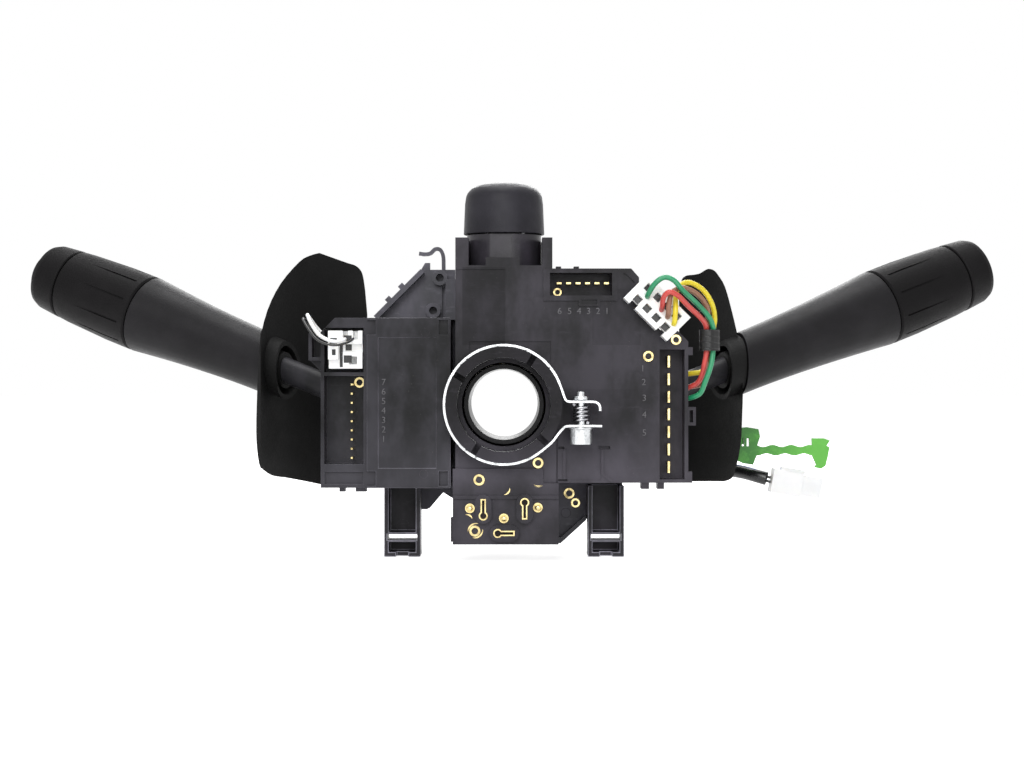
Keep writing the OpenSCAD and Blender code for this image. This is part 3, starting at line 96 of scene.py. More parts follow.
class Signal:
    """A value socket on which plain arithmetic adds Math nodes."""

    def __init__(self, graph: "Nodes", socket: bpy.types.NodeSocket) -> None:
        """Keeps the socket and the graph that its nodes go into."""
        self.graph = graph
        self.socket = socket

    def _math(
        self, operation: str, other: "Signal | float" = 0.0, flipped: bool = False
    ) -> "Signal":
        """Adds one Math node.

        Args:
            operation: The node's operation.
            other: The second value.
            flipped: Whether the other value comes first.

        Returns:
            The node's result.
        """
        first, second = (other, self) if flipped else (self, other)
        node = self.graph.node("ShaderNodeMath", {"operation": operation}, {0: first, 1: second})
        return Signal(self.graph, node.outputs[0])

    def __add__(self, other: "Signal | float") -> "Signal":
        """Returns the sum."""
        return self._math("ADD", other)

    def __radd__(self, other: float) -> "Signal":
        """Returns the sum."""
        return self._math("ADD", other, True)

    def __sub__(self, other: "Signal | float") -> "Signal":
        """Returns the difference."""
        return self._math("SUBTRACT", other)

    def __rsub__(self, other: float) -> "Signal":
        """Returns the difference from a plain number."""
        return self._math("SUBTRACT", other, True)

    def __mul__(self, other: "Signal | float") -> "Signal":
        """Returns the product."""
        return self._math("MULTIPLY", other)

    def __rmul__(self, other: float) -> "Signal":
        """Returns the product."""
        return self._math("MULTIPLY", other, True)

    def __truediv__(self, other: "Signal | float") -> "Signal":
        """Returns the quotient."""
        return self._math("DIVIDE", other)

    def __rtruediv__(self, other: float) -> "Signal":
        """Returns a plain number divided by the signal."""
        return self._math("DIVIDE", other, True)

    def above(self, level: float) -> "Signal":
        """Returns 1 where the signal is above the level and 0 elsewhere."""
        return self._math("GREATER_THAN", level)

    def most(self, other: "Signal | float") -> "Signal":
        """Returns the larger of the two."""
        return self._math("MAXIMUM", other)

    def part(self) -> "Signal":
        """Returns what stands after the decimal point."""
        return self._math("FRACT")

    def bearing(self, other: "Signal") -> "Signal":
        """Returns the angle in radians whose sine is this signal and whose cosine is the other."""
        return self._math("ARCTAN2", other)

    def ramp(self, low: float, high: float) -> "Signal":
        """Rises smoothly from 0 at low to 1 at high.

        Args:
            low: Where the rise begins.
            high: Where the rise ends; below low the slope falls instead.

        Returns:
            The eased and clamped value.
        """
        settings = {"interpolation_type": "SMOOTHSTEP", "clamp": True}
        values = {"Value": self, "From Min": low, "From Max": high}
        node = self.graph.node("ShaderNodeMapRange", settings, values)
        return Signal(self.graph, node.outputs[0])


class Nodes:
    """An empty node tree, of the world or of a material."""

    def __init__(self, owner: bpy.types.World | bpy.types.Material) -> None:
        """Clears the owner's node tree.

        Args:
            owner: The world or material.
        """
        owner.use_nodes = True
        self.tree = owner.node_tree
        self.tree.nodes.clear()

    def feed(self, socket: bpy.types.NodeSocket, value: object) -> None:
        """Links or sets one input.

        Args:
            socket: The input.
            value: A signal or socket to link, or a number, colour or vector to set.
        """
        if isinstance(value, Signal):
            value = value.socket
        if isinstance(value, bpy.types.NodeSocket):
            self.tree.links.new(value, socket)
        elif hasattr(socket.default_value, "__len__"):
            socket.default_value = (*value, 1.0)[: len(socket.default_value)]
        else:
            socket.default_value = value

    def node(
        self,
        kind: str,
        settings: dict[str, object] | None = None,
        values: dict[str | int, object] | None = None,
    ) -> bpy.types.Node:
        """Adds a node of any type.

        Args:
            kind: The node's type.
            settings: Properties that are set first, such as an operation.
            values: Links or constants for its input sockets, by name or number.

        Returns:
            The new node.
        """
        node = self.tree.nodes.new(kind)
        for key, value in (settings or {}).items():
            setattr(node, key, value)
        for key, value in (values or {}).items():
            self.feed(node.inputs[key], value)
        return node

    def background_rays(self) -> Signal:
        """Tells the rays that see the white background from those that light the object.

        Returns:
            1 for camera, glossy and transmission rays and 0 for the others.
        """
        rays = self.node("ShaderNodeLightPath").outputs
        straight, mirrored, through = (
            Signal(self, rays[f"Is {kind} Ray"]) for kind in ("Camera", "Glossy", "Transmission")
        )
        return straight.most(mirrored).most(through)


class Graph(Nodes):
    """The node tree of one material, which ends in one principled shader."""

    def __init__(self, name: str) -> None:
        """Starts a material with its shader, output and coordinates.

        Args:
            name: The material's name.
        """
        self.material = bpy.data.materials.new(name)
        super().__init__(self.material)
        self.shader = self.node("ShaderNodeBsdfPrincipled")
        self.node("ShaderNodeOutputMaterial", {}, {"Surface": self.shader.outputs["BSDF"]})
        self.place = self.node("ShaderNodeTexCoord").outputs["Object"]

    def set(self, **values: object) -> None:
        """Sets or links sockets of the shader, named with underscores for spaces."""
        for key, value in values.items():
            self.feed(self.shader.inputs[key.replace("_", " ")], value)

    def stretched(self, size: float, stretch: Point = EVEN) -> bpy.types.NodeSocket:
        """Scales the object's coordinates for a pattern.

        Args:
            size: The pattern's unit in metres.
            stretch: How far it is drawn out along each axis.

        Returns:
            The scaled coordinates.
        """
        factors = tuple(1 / (size * part) for part in stretch)
        values = {0: self.place, 1: factors}
        return self.node("ShaderNodeVectorMath", {"operation": "MULTIPLY"}, values).outputs[0]

    def noise(
        self, size: float, detail: float = 2.0, rough: float = 0.5, stretch: Point = EVEN
    ) -> Signal:
        """Soft noise from 0 to 1.

        Args:
            size: Width of its features in metres.
            detail: How many finer layers it has.
            rough: How strong the finer layers are.
            stretch: How far it is drawn out along each axis.

        Returns:
            The noise.
        """
        place = self.stretched(size, stretch)
        values = {"Vector": place, "Scale": 1.0, "Detail": detail, "Roughness": rough}
        return Signal(self, self.node("ShaderNodeTexNoise", {}, values).outputs[0])

    def cells(self, size: float) -> Signal:
        """Returns the distance from the middle of random cells that are size metres wide."""
        values = {"Vector": self.stretched(size), "Scale": 1.0}
        return Signal(self, self.node("ShaderNodeTexVoronoi", {}, values).outputs["Distance"])

    def axis(self, letter: str) -> Signal:
        """Returns one coordinate, X, Y or Z, in metres."""
        node = self.node("ShaderNodeSeparateXYZ", {}, {0: self.place})
        return Signal(self, node.outputs[letter])

    def mix(self, share: Signal | float, plain: object, other: object) -> bpy.types.NodeSocket:
        """Blends two colours.

        Args:
            share: How much of the other colour shows, from 0 to 1.
            plain: The colour at 0.
            other: The colour at 1.

        Returns:
            The blended colour.
        """
        node = self.node("ShaderNodeMix", {"data_type": "RGBA"}, {0: share, 6: plain, 7: other})
        return node.outputs[2]

    def relief(self, height: Signal, depth: float) -> None:
        """Gives the surface a fine relief, depth metres from the lowest to the highest."""
        values = {"Strength": 1.0, "Distance": depth, "Height": height}
        self.set(Normal=self.node("ShaderNodeBump", {}, values).outputs[0])


# Finishes


COOL_TINT = (1.02, 0.98, 1.05)
NYLON_REACH = (0.0022, 0.0020, 0.0017)
DUST = srgb(150, 146, 140)


def lighter(colour: Colour, factor: float) -> Colour:
    """Returns the colour with each channel times the factor."""
    return colour[0] * factor, colour[1] * factor, colour[2] * factor


@dataclass(frozen=True)
class Insert:
    """An oblong of the wall with its own tone and roughness.

    Attributes:
        low: Its lower left corner, X and Z in metres.
        high: Its upper right corner.
        tone: What the base colour is multiplied by there.
        gloss: What is added to the roughness there.
        depth: Where it ends towards the driver, Y in metres.
    """

    low: Spot
    high: Spot
    tone: float
    gloss: float = 0.0
    depth: float = 0.0012

    def mask(self, graph: Graph) -> Signal:
        """Marks the oblong on the surface.

        Args:
            graph: The material's node tree.

        Returns:
            1 on the oblong and 0 beside it.
        """
        x, z = graph.axis("X"), graph.axis("Z")
        across = x.above(self.low[0]) * (1 - x.above(self.high[0]))
        upright = z.above(self.low[1]) * (1 - z.above(self.high[1]))
        return across * upright * (1 - graph.axis("Y").above(self.depth))


@dataclass(frozen=True)
class Moulded:
    """Moulded plastic with a spark-eroded grain, flow marks, a little dust and, where asked, a
    painted sheen on its lower walls.

    Attributes:
        colour: Linear base colour.
        roughness: Roughness of a clean patch.
        grain: Width of the grain in metres.
        depth: Depth of the grain in metres.
        flow: How far the flow marks change colour and gloss.
        dust: Share of pale dust in the hollows of the grain.
        specular: Specular level.
        low_z: Height in metres below which the walls are painted paler, a painted sheen of light on
            the lower walls, or 0 for nowhere.
        inserts: Oblongs with their own tone and roughness.
        cloud: Width of the flow marks in metres.
        streak: Width of the flow lines in metres.
        speck: Width of the dust's cells in metres.
        wear: Width of the paler worn patches in metres.
    """

    colour: Colour
    roughness: float = 0.46
    grain: float = 0.00022
    depth: float = 0.000012
    flow: float = 0.5
    dust: float = 0.2
    specular: float = 0.14
    low_z: float = 0.0
    inserts: tuple[Insert, ...] = ()
    cloud: float = 0.021
    streak: float = 0.00035
    speck: float = 0.0016
    wear: float = 0.009

    def dress(self, graph: Graph) -> None:
        """Builds the finish's nodes.

        Args:
            graph: The material's node tree.
        """
        clouds = graph.noise(self.cloud, 4.0, 0.62, (1.0, 1.0, 1.7))
        streaks = graph.noise(self.streak, 2.0, 0.6, (14.0, 6.0, 1.0))
        grain = graph.noise(self.grain, 2.0, 0.6)
        specks = graph.cells(self.speck).ramp(0.11, 0.05) * graph.noise(0.014).ramp(0.52, 0.66)
        rubbed = graph.noise(self.wear, 4.0, 0.7, (1.0, 1.0, 0.35)).ramp(0.56, 0.74)
        cool = tuple(part * share for part, share in zip(self.colour, COOL_TINT))
        deep = lighter(self.colour, 1 - 0.55 * self.flow)
        pale = lighter(cool, 1 + 1.5 * self.flow)
        toned = graph.mix(clouds.ramp(0.36, 0.66), deep, pale)
        roughness = self.roughness + (clouds - 0.5) * 0.2 * self.flow - rubbed * 0.06
        for tone_oblong in self.inserts:
            mask = tone_oblong.mask(graph)
            toned = graph.mix(mask * (1 - tone_oblong.tone), toned, lighter(self.colour, 0.1))
            roughness = roughness + mask * tone_oblong.gloss
        worn = graph.mix(rubbed * 0.3, toned, lighter(cool, 2.6))
        # Painted sheen: below low_z the walls are painted paler, as light on the lower walls, a
        # little less so at the very bottom. From here worn holds the worn patches and this painted
        # sheen.
        if self.low_z:
            height = graph.axis("Z")
            below = height.ramp(self.low_z + 0.012, self.low_z - 0.014) * (0.35 + clouds * 0.9)
            sheen_fade = height.ramp(self.low_z - 0.013, self.low_z - 0.019) * 0.62
            worn = graph.mix(below * 0.55 * (1 - sheen_fade), worn, lighter(cool, 5.5))
        lined = graph.mix(streaks.ramp(0.58, 0.8) * 0.25, worn, lighter(cool, 2.2))
        graph.set(
            Base_Color=graph.mix(specks * self.dust, lined, DUST),
            Roughness=roughness + (grain - 0.5) * 0.12,
            Specular_IOR_Level=self.specular,
        )
        graph.relief(grain + clouds * 0.4 + streaks * 0.5, self.depth)


@dataclass(frozen=True)
class Leathered:
    """Soft-touch plastic with a fine cell grain, as on the stalks.

    Attributes:
        colour: Linear base colour.
        roughness: Roughness of the tops of the cells.
        cell: Width of a cell in metres.
        depth: Depth between the cells in metres.
        specular: Specular level.
        fine: Width of the roughness inside a cell in metres.
        touch: Width of the handled patches in metres.
        scuff: Width of the scuffs in metres.
    """

    colour: Colour
    roughness: float = 0.42
    cell: float = 0.0005
    depth: float = 0.00002
    specular: float = 0.12
    fine: float = 0.00012
    touch: float = 0.022
    scuff: float = 0.005

    def dress(self, graph: Graph) -> None:
        """Builds the finish's nodes.

        Args:
            graph: The material's node tree.
        """
        cells = graph.cells(self.cell).ramp(0.15, 0.75)
        fine = graph.noise(self.fine, 2.0, 0.6)
        handled = graph.noise(self.touch, 3.0, 0.6).ramp(0.38, 0.7)
        scuffs = graph.noise(self.scuff, 5.0, 0.75, (3.0, 0.5, 0.5)).ramp(0.64, 0.74)
        toned = graph.mix(handled, lighter(self.colour, 0.82), lighter(self.colour, 1.25))
        graph.set(
            Base_Color=graph.mix(scuffs * 0.3, toned, lighter(self.colour, 2.4)),
            Roughness=self.roughness + cells * 0.08 - handled * 0.07 + (fine - 0.5) * 0.06,
            Specular_IOR_Level=self.specular,
        )
        graph.relief((1 - cells) + fine * 0.3, self.depth)


@dataclass(frozen=True)
class Metal:
    """Sheet, wire or turned metal, with its rolling or turning lines and its tarnish.

    Attributes:
        colour: Linear colour of clean metal.
        tarnish: Linear colour of the duller patches.
        roughness: Roughness of clean metal.
        lines: How far the fine lines are drawn out along each axis.
        patches: Share of the surface that is tarnished.
        width: Width of the lines in metres.
        patch: Width of the patches in metres.
    """

    colour: Colour
    tarnish: Colour
    roughness: float = 0.28
    lines: Point = (1.0, 14.0, 1.0)
    patches: float = 0.4
    width: float = 0.00018
    patch: float = 0.0035

    def dress(self, graph: Graph) -> None:
        """Builds the finish's nodes.

        Args:
            graph: The material's node tree.
        """
        lines = graph.noise(self.width, 2.0, 0.6, self.lines)
        patches = graph.noise(self.patch, 4.0, 0.65).ramp(0.64 - 0.3 * self.patches, 0.72)
        graph.set(
            Base_Color=graph.mix(patches * self.patches, self.colour, self.tarnish),
            Metallic=1.0 - patches * 0.12,
            Roughness=self.roughness + patches * 0.16 + (lines - 0.5) * 0.16,
        )
        graph.relief(lines, 0.000006)


@dataclass(frozen=True)
class Insulation:
    """Extruded insulation or sleeve, with die lines along it and a dry, handled skin.

    Attributes:
        colour: Linear base colour.
        roughness: Roughness of the skin.
        skin: Size of the marks in metres.
        dirt: How far the hollows darken.
    """

    colour: Colour
    roughness: float = 0.4
    skin: float = 0.0008
    dirt: float = 0.35

    def dress(self, graph: Graph) -> None:
        """Builds the finish's nodes.

        Args:
            graph: The material's node tree.
        """
        skin = graph.noise(self.skin, 3.0, 0.6)
        handled = graph.noise(0.007, 3.0, 0.6).ramp(0.4, 0.68)
        toned = graph.mix(handled * self.dirt, self.colour, lighter(self.colour, 0.45))
        pale = tuple(min(1.0, part * 1.25 + 0.02) for part in self.colour)
        graph.set(
            Base_Color=graph.mix(skin.ramp(0.5, 0.75) * 0.4, toned, pale),
            Roughness=self.roughness + (skin - 0.5) * 0.2 + handled * 0.08,
            Specular_IOR_Level=0.5,
        )
        graph.relief(skin, 0.00002)


@dataclass(frozen=True)
class WoundTape:
    """Thin vinyl tape wound round the loom, each turn half over the last.

    Attributes:
        colour: Linear base colour.
        centre: X and Y of the loom's middle in metres.
        width: How far the tape climbs with each turn, in metres.
    """

    colour: Colour
    centre: Spot
    width: float = 0.0023

    def dress(self, graph: Graph) -> None:
        """Builds the finish's nodes.

        Args:
            graph: The material's node tree.
        """
        across = graph.axis("X") - self.centre[0]
        turn = (graph.axis("Y") - self.centre[1]).bearing(across) / math.tau
        climb = (graph.axis("Z") / self.width + turn + 100.0).part()
        lap = climb.ramp(0.0, 0.12) - climb.ramp(0.88, 1.0) * 0.6
        creases = graph.noise(0.0016, 3.0, 0.6, (1.0, 1.0, 0.4))
        worn = lighter(self.colour, 2.6)
        graph.set(
            Base_Color=graph.mix(climb.ramp(0.82, 1.0) * 0.5, self.colour, worn),
            Roughness=0.34 + (creases - 0.5) * 0.3,
            Specular_IOR_Level=0.4,
        )
        graph.relief(lap + creases * 0.5, 0.00012)


@dataclass(frozen=True)
class StrapPlastic:
    """Soft coloured plastic that grows paler along X from the tag to the thin end, with paler
    random patches.

    Attributes:
        thick: Linear colour of the thick tag.
        thin: Linear colour of the thin end.
        start: Where the tag ends, along X in metres.
        end: Where the thin end begins, along X in metres.
    """

    thick: Colour
    thin: Colour
    start: float = 0.099
    end: float = 0.127

    def dress(self, graph: Graph) -> None:
        """Builds the finish's nodes.

        Args:
            graph: The material's node tree.
        """
        along = graph.axis("X").ramp(self.start, self.end)
        bent = graph.noise(0.0045, 3.0, 0.6).ramp(0.48, 0.7)
        fine = graph.noise(0.0004, 2.0, 0.6)
        toned = graph.mix(along, self.thick, self.thin)
        graph.set(
            Base_Color=graph.mix(bent * 0.35, toned, lighter(self.thin, 1.2)),
            Roughness=0.4 + (fine - 0.5) * 0.12,
            Specular_IOR_Level=0.4,
        )
        graph.relief(bent + fine * 0.3, 0.00003)


@dataclass(frozen=True)
class Nylon:
    """Pale nylon or acetal that lets a little light in, with faint sink marks.

    Attributes:
        colour: Linear base colour.
        shade: Linear colour of the thicker places.
        glow: Subsurface weight.
        clear: Transmission weight.
    """

    colour: Colour
    shade: Colour
    glow: float = 0.25
    clear: float = 0.0

    def dress(self, graph: Graph) -> None:
        """Builds the finish's nodes.

        Args:
            graph: The material's node tree.
        """
        sink = graph.noise(0.004, 2.0, 0.5)
        fine = graph.noise(0.0003, 2.0, 0.6)
        graph.set(
            Base_Color=graph.mix(sink.ramp(0.35, 0.75) * 0.6, self.colour, self.shade),
            Roughness=0.36 + (sink - 0.5) * 0.18 + (fine - 0.5) * 0.1,
            Subsurface_Weight=self.glow,
            Subsurface_Radius=NYLON_REACH,
            Subsurface_Scale=1.0,
            Transmission_Weight=self.clear,
            Specular_IOR_Level=0.45,
        )
        graph.relief(sink + fine * 0.3, 0.00003)


@dataclass(frozen=True)
class Laminate:
    """Brown paper laminate of the contact plates, with its fibres and solder flux.

    Attributes:
        colour: Linear base colour.
        fibre: Linear colour of the fibres.
    """

    colour: Colour
    fibre: Colour

    def dress(self, graph: Graph) -> None:
        """Builds the finish's nodes.

        Args:
            graph: The material's node tree.
        """
        fibres = graph.noise(0.0006, 4.0, 0.7, (5.0, 1.0, 1.0))
        cross = graph.noise(0.0006, 4.0, 0.7, (1.0, 1.0, 5.0))
        flux = graph.noise(0.006, 3.0, 0.6).ramp(0.55, 0.7)
        graph.set(
            Base_Color=graph.mix(fibres.most(cross).ramp(0.45, 0.75), self.colour, self.fibre),
            Roughness=0.5 - flux * 0.22,
            Coat_Weight=flux * 0.3,
        )
        graph.relief(fibres, 0.00001)


Kind = Moulded | Leathered | Metal | Insulation | WoundTape | StrapPlastic | Nylon | Laminate


class Finish(Enum):
    """The record's material slots."""

    HOUSING = "housing_black"
    CASE = "case_black"
    FRAME = "frame_grey"
    ROTOR = "rotor_black"
    STALK = "stalk_black"
    FLAP = "flap_black"
    BUTTON = "button_black"
    LEVER = "lever_black"
    NATURAL = "natural_plastic"
    BOARD = "board_brown"
    ZINC = "zinc_steel"
    SPRING = "spring_steel"
    BRASS = "brass"
    RIBBON = "ribbon"
    WHITE = "white_plastic"
    RUBBER = "dark_rubber"
    YELLOW = "wire_yellow"
    BROWN = "wire_brown"
    GREEN = "wire_green"
    RED = "wire_red"
    STRAP = "strap_green"


REAR_TONE_OBLONGS = (
    Insert((-0.0158, 0.0226), (0.0004, 0.0522), 0.62, 0.1),
    Insert((0.0336, 0.0226), (0.0520, 0.0440), 0.8, 0.04),
    Insert((0.0226, -0.0282), (0.0500, 0.0058), 0.86, 0.06),
    Insert((-0.0225, -0.0225), (0.0225, 0.0225), 0.3, 0.16, -0.0006),
)

LOOKS: dict[Finish, Kind] = {
    Finish.HOUSING: Moulded(
        srgb(38, 37, 40), roughness=0.38, flow=0.75, low_z=-0.014, inserts=REAR_TONE_OBLONGS
    ),
    Finish.CASE: Moulded(srgb(32, 32, 34), roughness=0.34, flow=0.9, low_z=-0.016),
    Finish.FRAME: Moulded(srgb(80, 80, 85), roughness=0.48, flow=0.35, specular=0.2),
    Finish.ROTOR: Moulded(srgb(20, 20, 21), roughness=0.32, flow=0.3, dust=0.08),
    Finish.STALK: Leathered(srgb(29, 28, 30), roughness=0.42),
    Finish.FLAP: Leathered(srgb(20, 20, 20), roughness=0.56, cell=0.0009),
    Finish.BUTTON: Leathered(srgb(43, 42, 47), roughness=0.4, cell=0.0004),
    Finish.LEVER: Moulded(srgb(34, 34, 36), roughness=0.42, dust=0.1),
    Finish.NATURAL: Nylon(srgb(232, 226, 208), srgb(214, 205, 182)),
    Finish.BOARD: Laminate(srgb(108, 70, 38), srgb(146, 102, 60)),
    Finish.ZINC: Metal(srgb(212, 214, 216), srgb(124, 126, 126), roughness=0.26, patches=0.7),
    Finish.SPRING: Metal(srgb(170, 170, 174), srgb(96, 94, 94), roughness=0.3),
    Finish.BRASS: Metal(
        srgb(214, 196, 142), srgb(104, 86, 50), roughness=0.24, lines=(1.0, 1.0, 6.0), patches=0.7
    ),
    Finish.RIBBON: Nylon(srgb(190, 120, 40), srgb(160, 96, 30), glow=0.1),
    Finish.WHITE: Nylon(srgb(251, 251, 250), srgb(243, 243, 242)),
    Finish.RUBBER: Insulation(srgb(17, 17, 18), roughness=0.26),
    Finish.YELLOW: Insulation(srgb(232, 212, 48), roughness=0.34),
    Finish.BROWN: Insulation(srgb(146, 102, 80), roughness=0.36),
    Finish.GREEN: Insulation(srgb(36, 142, 96), roughness=0.34),
    Finish.RED: Insulation(srgb(196, 68, 62), roughness=0.34),
    Finish.STRAP: StrapPlastic(srgb(44, 122, 32), srgb(92, 176, 62)),
}
# Finishes whose rounded edges get a paler copy of the finish, a painted highlight.
EDGE_HIGHLIGHTED = (Finish.HOUSING, Finish.CASE, Finish.FRAME)
CLEAR_NYLON = Nylon(srgb(253, 253, 253), srgb(247, 248, 249), glow=0.3, clear=0.2)
LEG_PLASTIC = Moulded(srgb(46, 45, 48), roughness=0.42, flow=0.6)
BARREL_PLASTIC = Moulded(srgb(52, 50, 55), roughness=0.3, flow=0.3, dust=0.05, specular=0.3)
GRIP_RUBBER = Leathered(srgb(21, 20, 21), roughness=0.5, cell=0.0007, specular=0.08)
BLUE_LINE = Insulation(srgb(42, 88, 170), roughness=0.3)
PRINTED = Insulation(srgb(84, 83, 87), roughness=0.55, skin=0.0003, dirt=0.5)
LOOM_TAPE = WoundTape(srgb(14, 14, 15), (0.0782, 0.0002))


class Wardrobe:
    """Makes each finish once and hands it out."""

    def __init__(self) -> None:
        """Starts with nothing made."""
        self._made: dict[str, bpy.types.Material] = {}

    def material(
        self, finish: Finish, look: Kind | None = None, name: str = ""
    ) -> bpy.types.Material:
        """Returns the material of a finish.

        Args:
            finish: The slot that it belongs to.
            look: A variant's own look, or nothing for the slot's usual one.
            name: The variant's name.

        Returns:
            The material.
        """
        key = name or finish.value
        if key not in self._made:
            graph = Graph(key)
            (look or LOOKS[finish]).dress(graph)
            self._made[key] = graph.material
        return self._made[key]

    def rubbed(self, finish: Finish) -> bpy.types.Material | None:
        """Finds the paler copy of a moulding's finish that paints a highlight on its rounded edges.

        Args:
            finish: The moulding's slot.

        Returns:
            The material, or nothing where the edges look like the faces.
        """
        look = LOOKS[finish]
        if finish not in EDGE_HIGHLIGHTED or not isinstance(look, Moulded):
            return None
        # Painted highlight: the edges are 3.2 times paler and glossier than the faces.
        colour, roughness = lighter(look.colour, 3.2), look.roughness - 0.08
        pale = replace(look, colour=colour, roughness=roughness, inserts=())
        return self.material(finish, pale, f"{finish.value}_edge")


# Shapes


def placed(name: str, data: bpy.types.ID) -> bpy.types.Object:
    """Puts new data into the scene.

    Args:
        name: The object's name.
        data: Its mesh, curve, text, lamp or camera.

    Returns:
        The object.
    """
    piece = bpy.data.objects.new(name, data)
    bpy.context.scene.collection.objects.link(piece)
    return piece


def rounded_route(points: Sequence[Point], steps: int) -> list[Vector]:
    """Draws the smooth path that passes through given points.

    Args:
        points: The points in millimetres.
        steps: How many parts each span is divided into.

    Returns:
        The path's points in metres.
    """
    places = [Vector(point) * MM for point in points]
    last = len(places) - 1
    path = []
    for index in range(last):
        a, b = places[max(index - 1, 0)], places[index]
        c, d = places[index + 1], places[min(index + 2, last)]
        for step in range(steps):
            t = step / steps
            bend, twist = 2 * a - 5 * b + 4 * c - d, 3 * b - a - 3 * c + d
            path.append(0.5 * (2 * b + (c - a) * t + bend * t**2 + twist * t**3))
    return [*path, places[last]]


def length_of(path: Sequence[Vector]) -> float:
    """Returns a path's length in metres."""
    return sum((b - a).length for a, b in zip(path, path[1:]))


def mesh_piece(name: str, bm: bmesh.types.BMesh, smooth: bool = True) -> bpy.types.Object:
    """Turns a bmesh into an object in the scene.

    Args:
        name: The piece's name.
        bm: The mesh, which is freed.
        smooth: Whether its faces are shaded smooth.

    Returns:
        The object.
    """
    bmesh.ops.recalc_face_normals(bm, faces=bm.faces)
    for face in bm.faces:
        face.smooth = smooth
    mesh = bpy.data.meshes.new(name)
    bm.to_mesh(mesh)
    bm.free()
    return placed(name, mesh)


def curve_piece(name: str, path: Sequence[Vector], radius: float) -> bpy.types.Object:
    """Makes a round wire along a path.

    Args:
        name: The piece's name.
        path: The centreline in metres.
        radius: The wire's radius in metres.

    Returns:
        The curve object, with capped ends.
    """
    curve = bpy.data.curves.new(name, "CURVE")
    curve.dimensions = "3D"
    curve.bevel_depth = radius
    curve.bevel_resolution = 5
    curve.use_fill_caps = True
    spline = curve.splines.new("POLY")
    spline.points.add(len(path) - 1)
    for point, place in zip(spline.points, path):
        point.co = (*place, 1.0)
    spline.use_smooth = True
    return placed(name, curve)


def as_mesh(curve: bpy.types.Object) -> bpy.types.Object:
    """Turns a curve into a mesh of the same name and shape.

    Args:
        curve: The curve object, which is removed.

    Returns:
        The mesh object.
    """
    name = curve.name
    bpy.context.view_layer.update()
    shape = curve.evaluated_get(bpy.context.evaluated_depsgraph_get())
    mesh = bpy.data.meshes.new_from_object(shape)
    bpy.data.objects.remove(curve)
    return placed(name, mesh)


def hollow_sweep(
    name: str, path: Sequence[Vector], outer: float, inner: float, sides: int = 28
) -> bpy.types.Object:
    """Makes a tube that is open at both ends and has a real wall.

    Args:
        name: The piece's name.
        path: The centreline in metres.
        outer: Its outer radius in metres.
        inner: Its inner radius in metres.
        sides: Corners of each ring.

    Returns:
        The tube.
    """
    bm = bmesh.new()
    rings = []
    side = Vector((0, 0, 1))
    for index, place in enumerate(path):
        ahead = path[min(index + 1, len(path) - 1)] - path[max(index - 1, 0)]
        ahead.normalize()
        side = (side - ahead * side.dot(ahead)).normalized()
        across = ahead.cross(side)
        turns = [math.tau * k / sides for k in range(sides)]
        ways = [side * math.cos(turn) + across * math.sin(turn) for turn in turns]
        reaches = (outer, inner)
        rings.append([[bm.verts.new(place + way * reach) for way in ways] for reach in reaches])
    for (low, low_in), (high, high_in) in zip(rings, rings[1:]):
        for k in range(sides):
            n = (k + 1) % sides
            bm.faces.new((low[k], low[n], high[n], high[k]))
            bm.faces.new((low_in[n], low_in[k], high_in[k], high_in[n]))
    for rim, rim_in in (rings[0], rings[-1]):
        for k in range(sides):
            n = (k + 1) % sides
            bm.faces.new((rim[k], rim_in[k], rim_in[n], rim[n]))
    return mesh_piece(name, bm)


def add_box(bm: bmesh.types.BMesh, low: Point, high: Point, turn: Matrix | None = None) -> None:
    """Adds a box.

    Args:
        bm: The mesh to add to.
        low: Its lowest corner in millimetres.
        high: Its highest corner.
        turn: How it is then turned and moved, in millimetres.
    """
    made = bmesh.ops.create_cube(bm, size=1.0)["verts"]
    middle = (Vector(low) + Vector(high)) / 2
    span = Vector(high) - Vector(low)
    spread = Matrix.Translation(middle) @ Matrix.Diagonal((*span, 1.0))
    spread = (turn or Matrix.Identity(4)) @ spread
    bmesh.ops.transform(bm, verts=made, matrix=Matrix.Scale(MM, 4) @ spread)


def add_prism(bm: bmesh.types.BMesh, outline: Sequence[Spot], y0: float, y1: float) -> None:
    """Adds a prism that is drawn in X and Z.

    Args:
        bm: The mesh to add to.
        outline: Its corners in millimetres.
        y0: Depth of one face in millimetres.
        y1: Depth of the other.
    """
    near = [bm.verts.new((x * MM, y0 * MM, z * MM)) for x, z in outline]
    far = [bm.verts.new((x * MM, y1 * MM, z * MM)) for x, z in outline]
    count = len(outline)
    bm.faces.new(near)
    bm.faces.new(far[::-1])
    for k in range(count):
        bm.faces.new((near[k], near[(k + 1) % count], far[(k + 1) % count], far[k]))


def add_ring(
    bm: bmesh.types.BMesh, profile: Sequence[Spot], axis: Matrix, sides: int = 48
) -> None:
    """Adds a closed profile turned about the Z axis of a matrix.

    Args:
        bm: The mesh to add to.
        profile: Radius and height of each corner, in millimetres.
        axis: Where the axis lies, in millimetres.
        sides: Corners round the axis.
    """
    frame_mm = Matrix.Scale(MM, 4) @ axis
    rings = []
    for k in range(sides):
        turn = math.tau * k / sides
        corners = [Vector((r * math.cos(turn), r * math.sin(turn), h)) for r, h in profile]
        rings.append([bm.verts.new(frame_mm @ corner) for corner in corners])
    count = len(profile)
    for k in range(sides):
        here, there = rings[k], rings[(k + 1) % sides]
        for i in range(count):
            n = (i + 1) % count
            bm.faces.new((here[i], there[i], there[n], here[n]))


WELD_GAP = 2e-6
FLAT_ANGLE = math.radians(0.6)
EDGE_ANGLE = math.radians(34.0)
ROUNDING_STEPS = 2
FACE_WEIGHT = 60


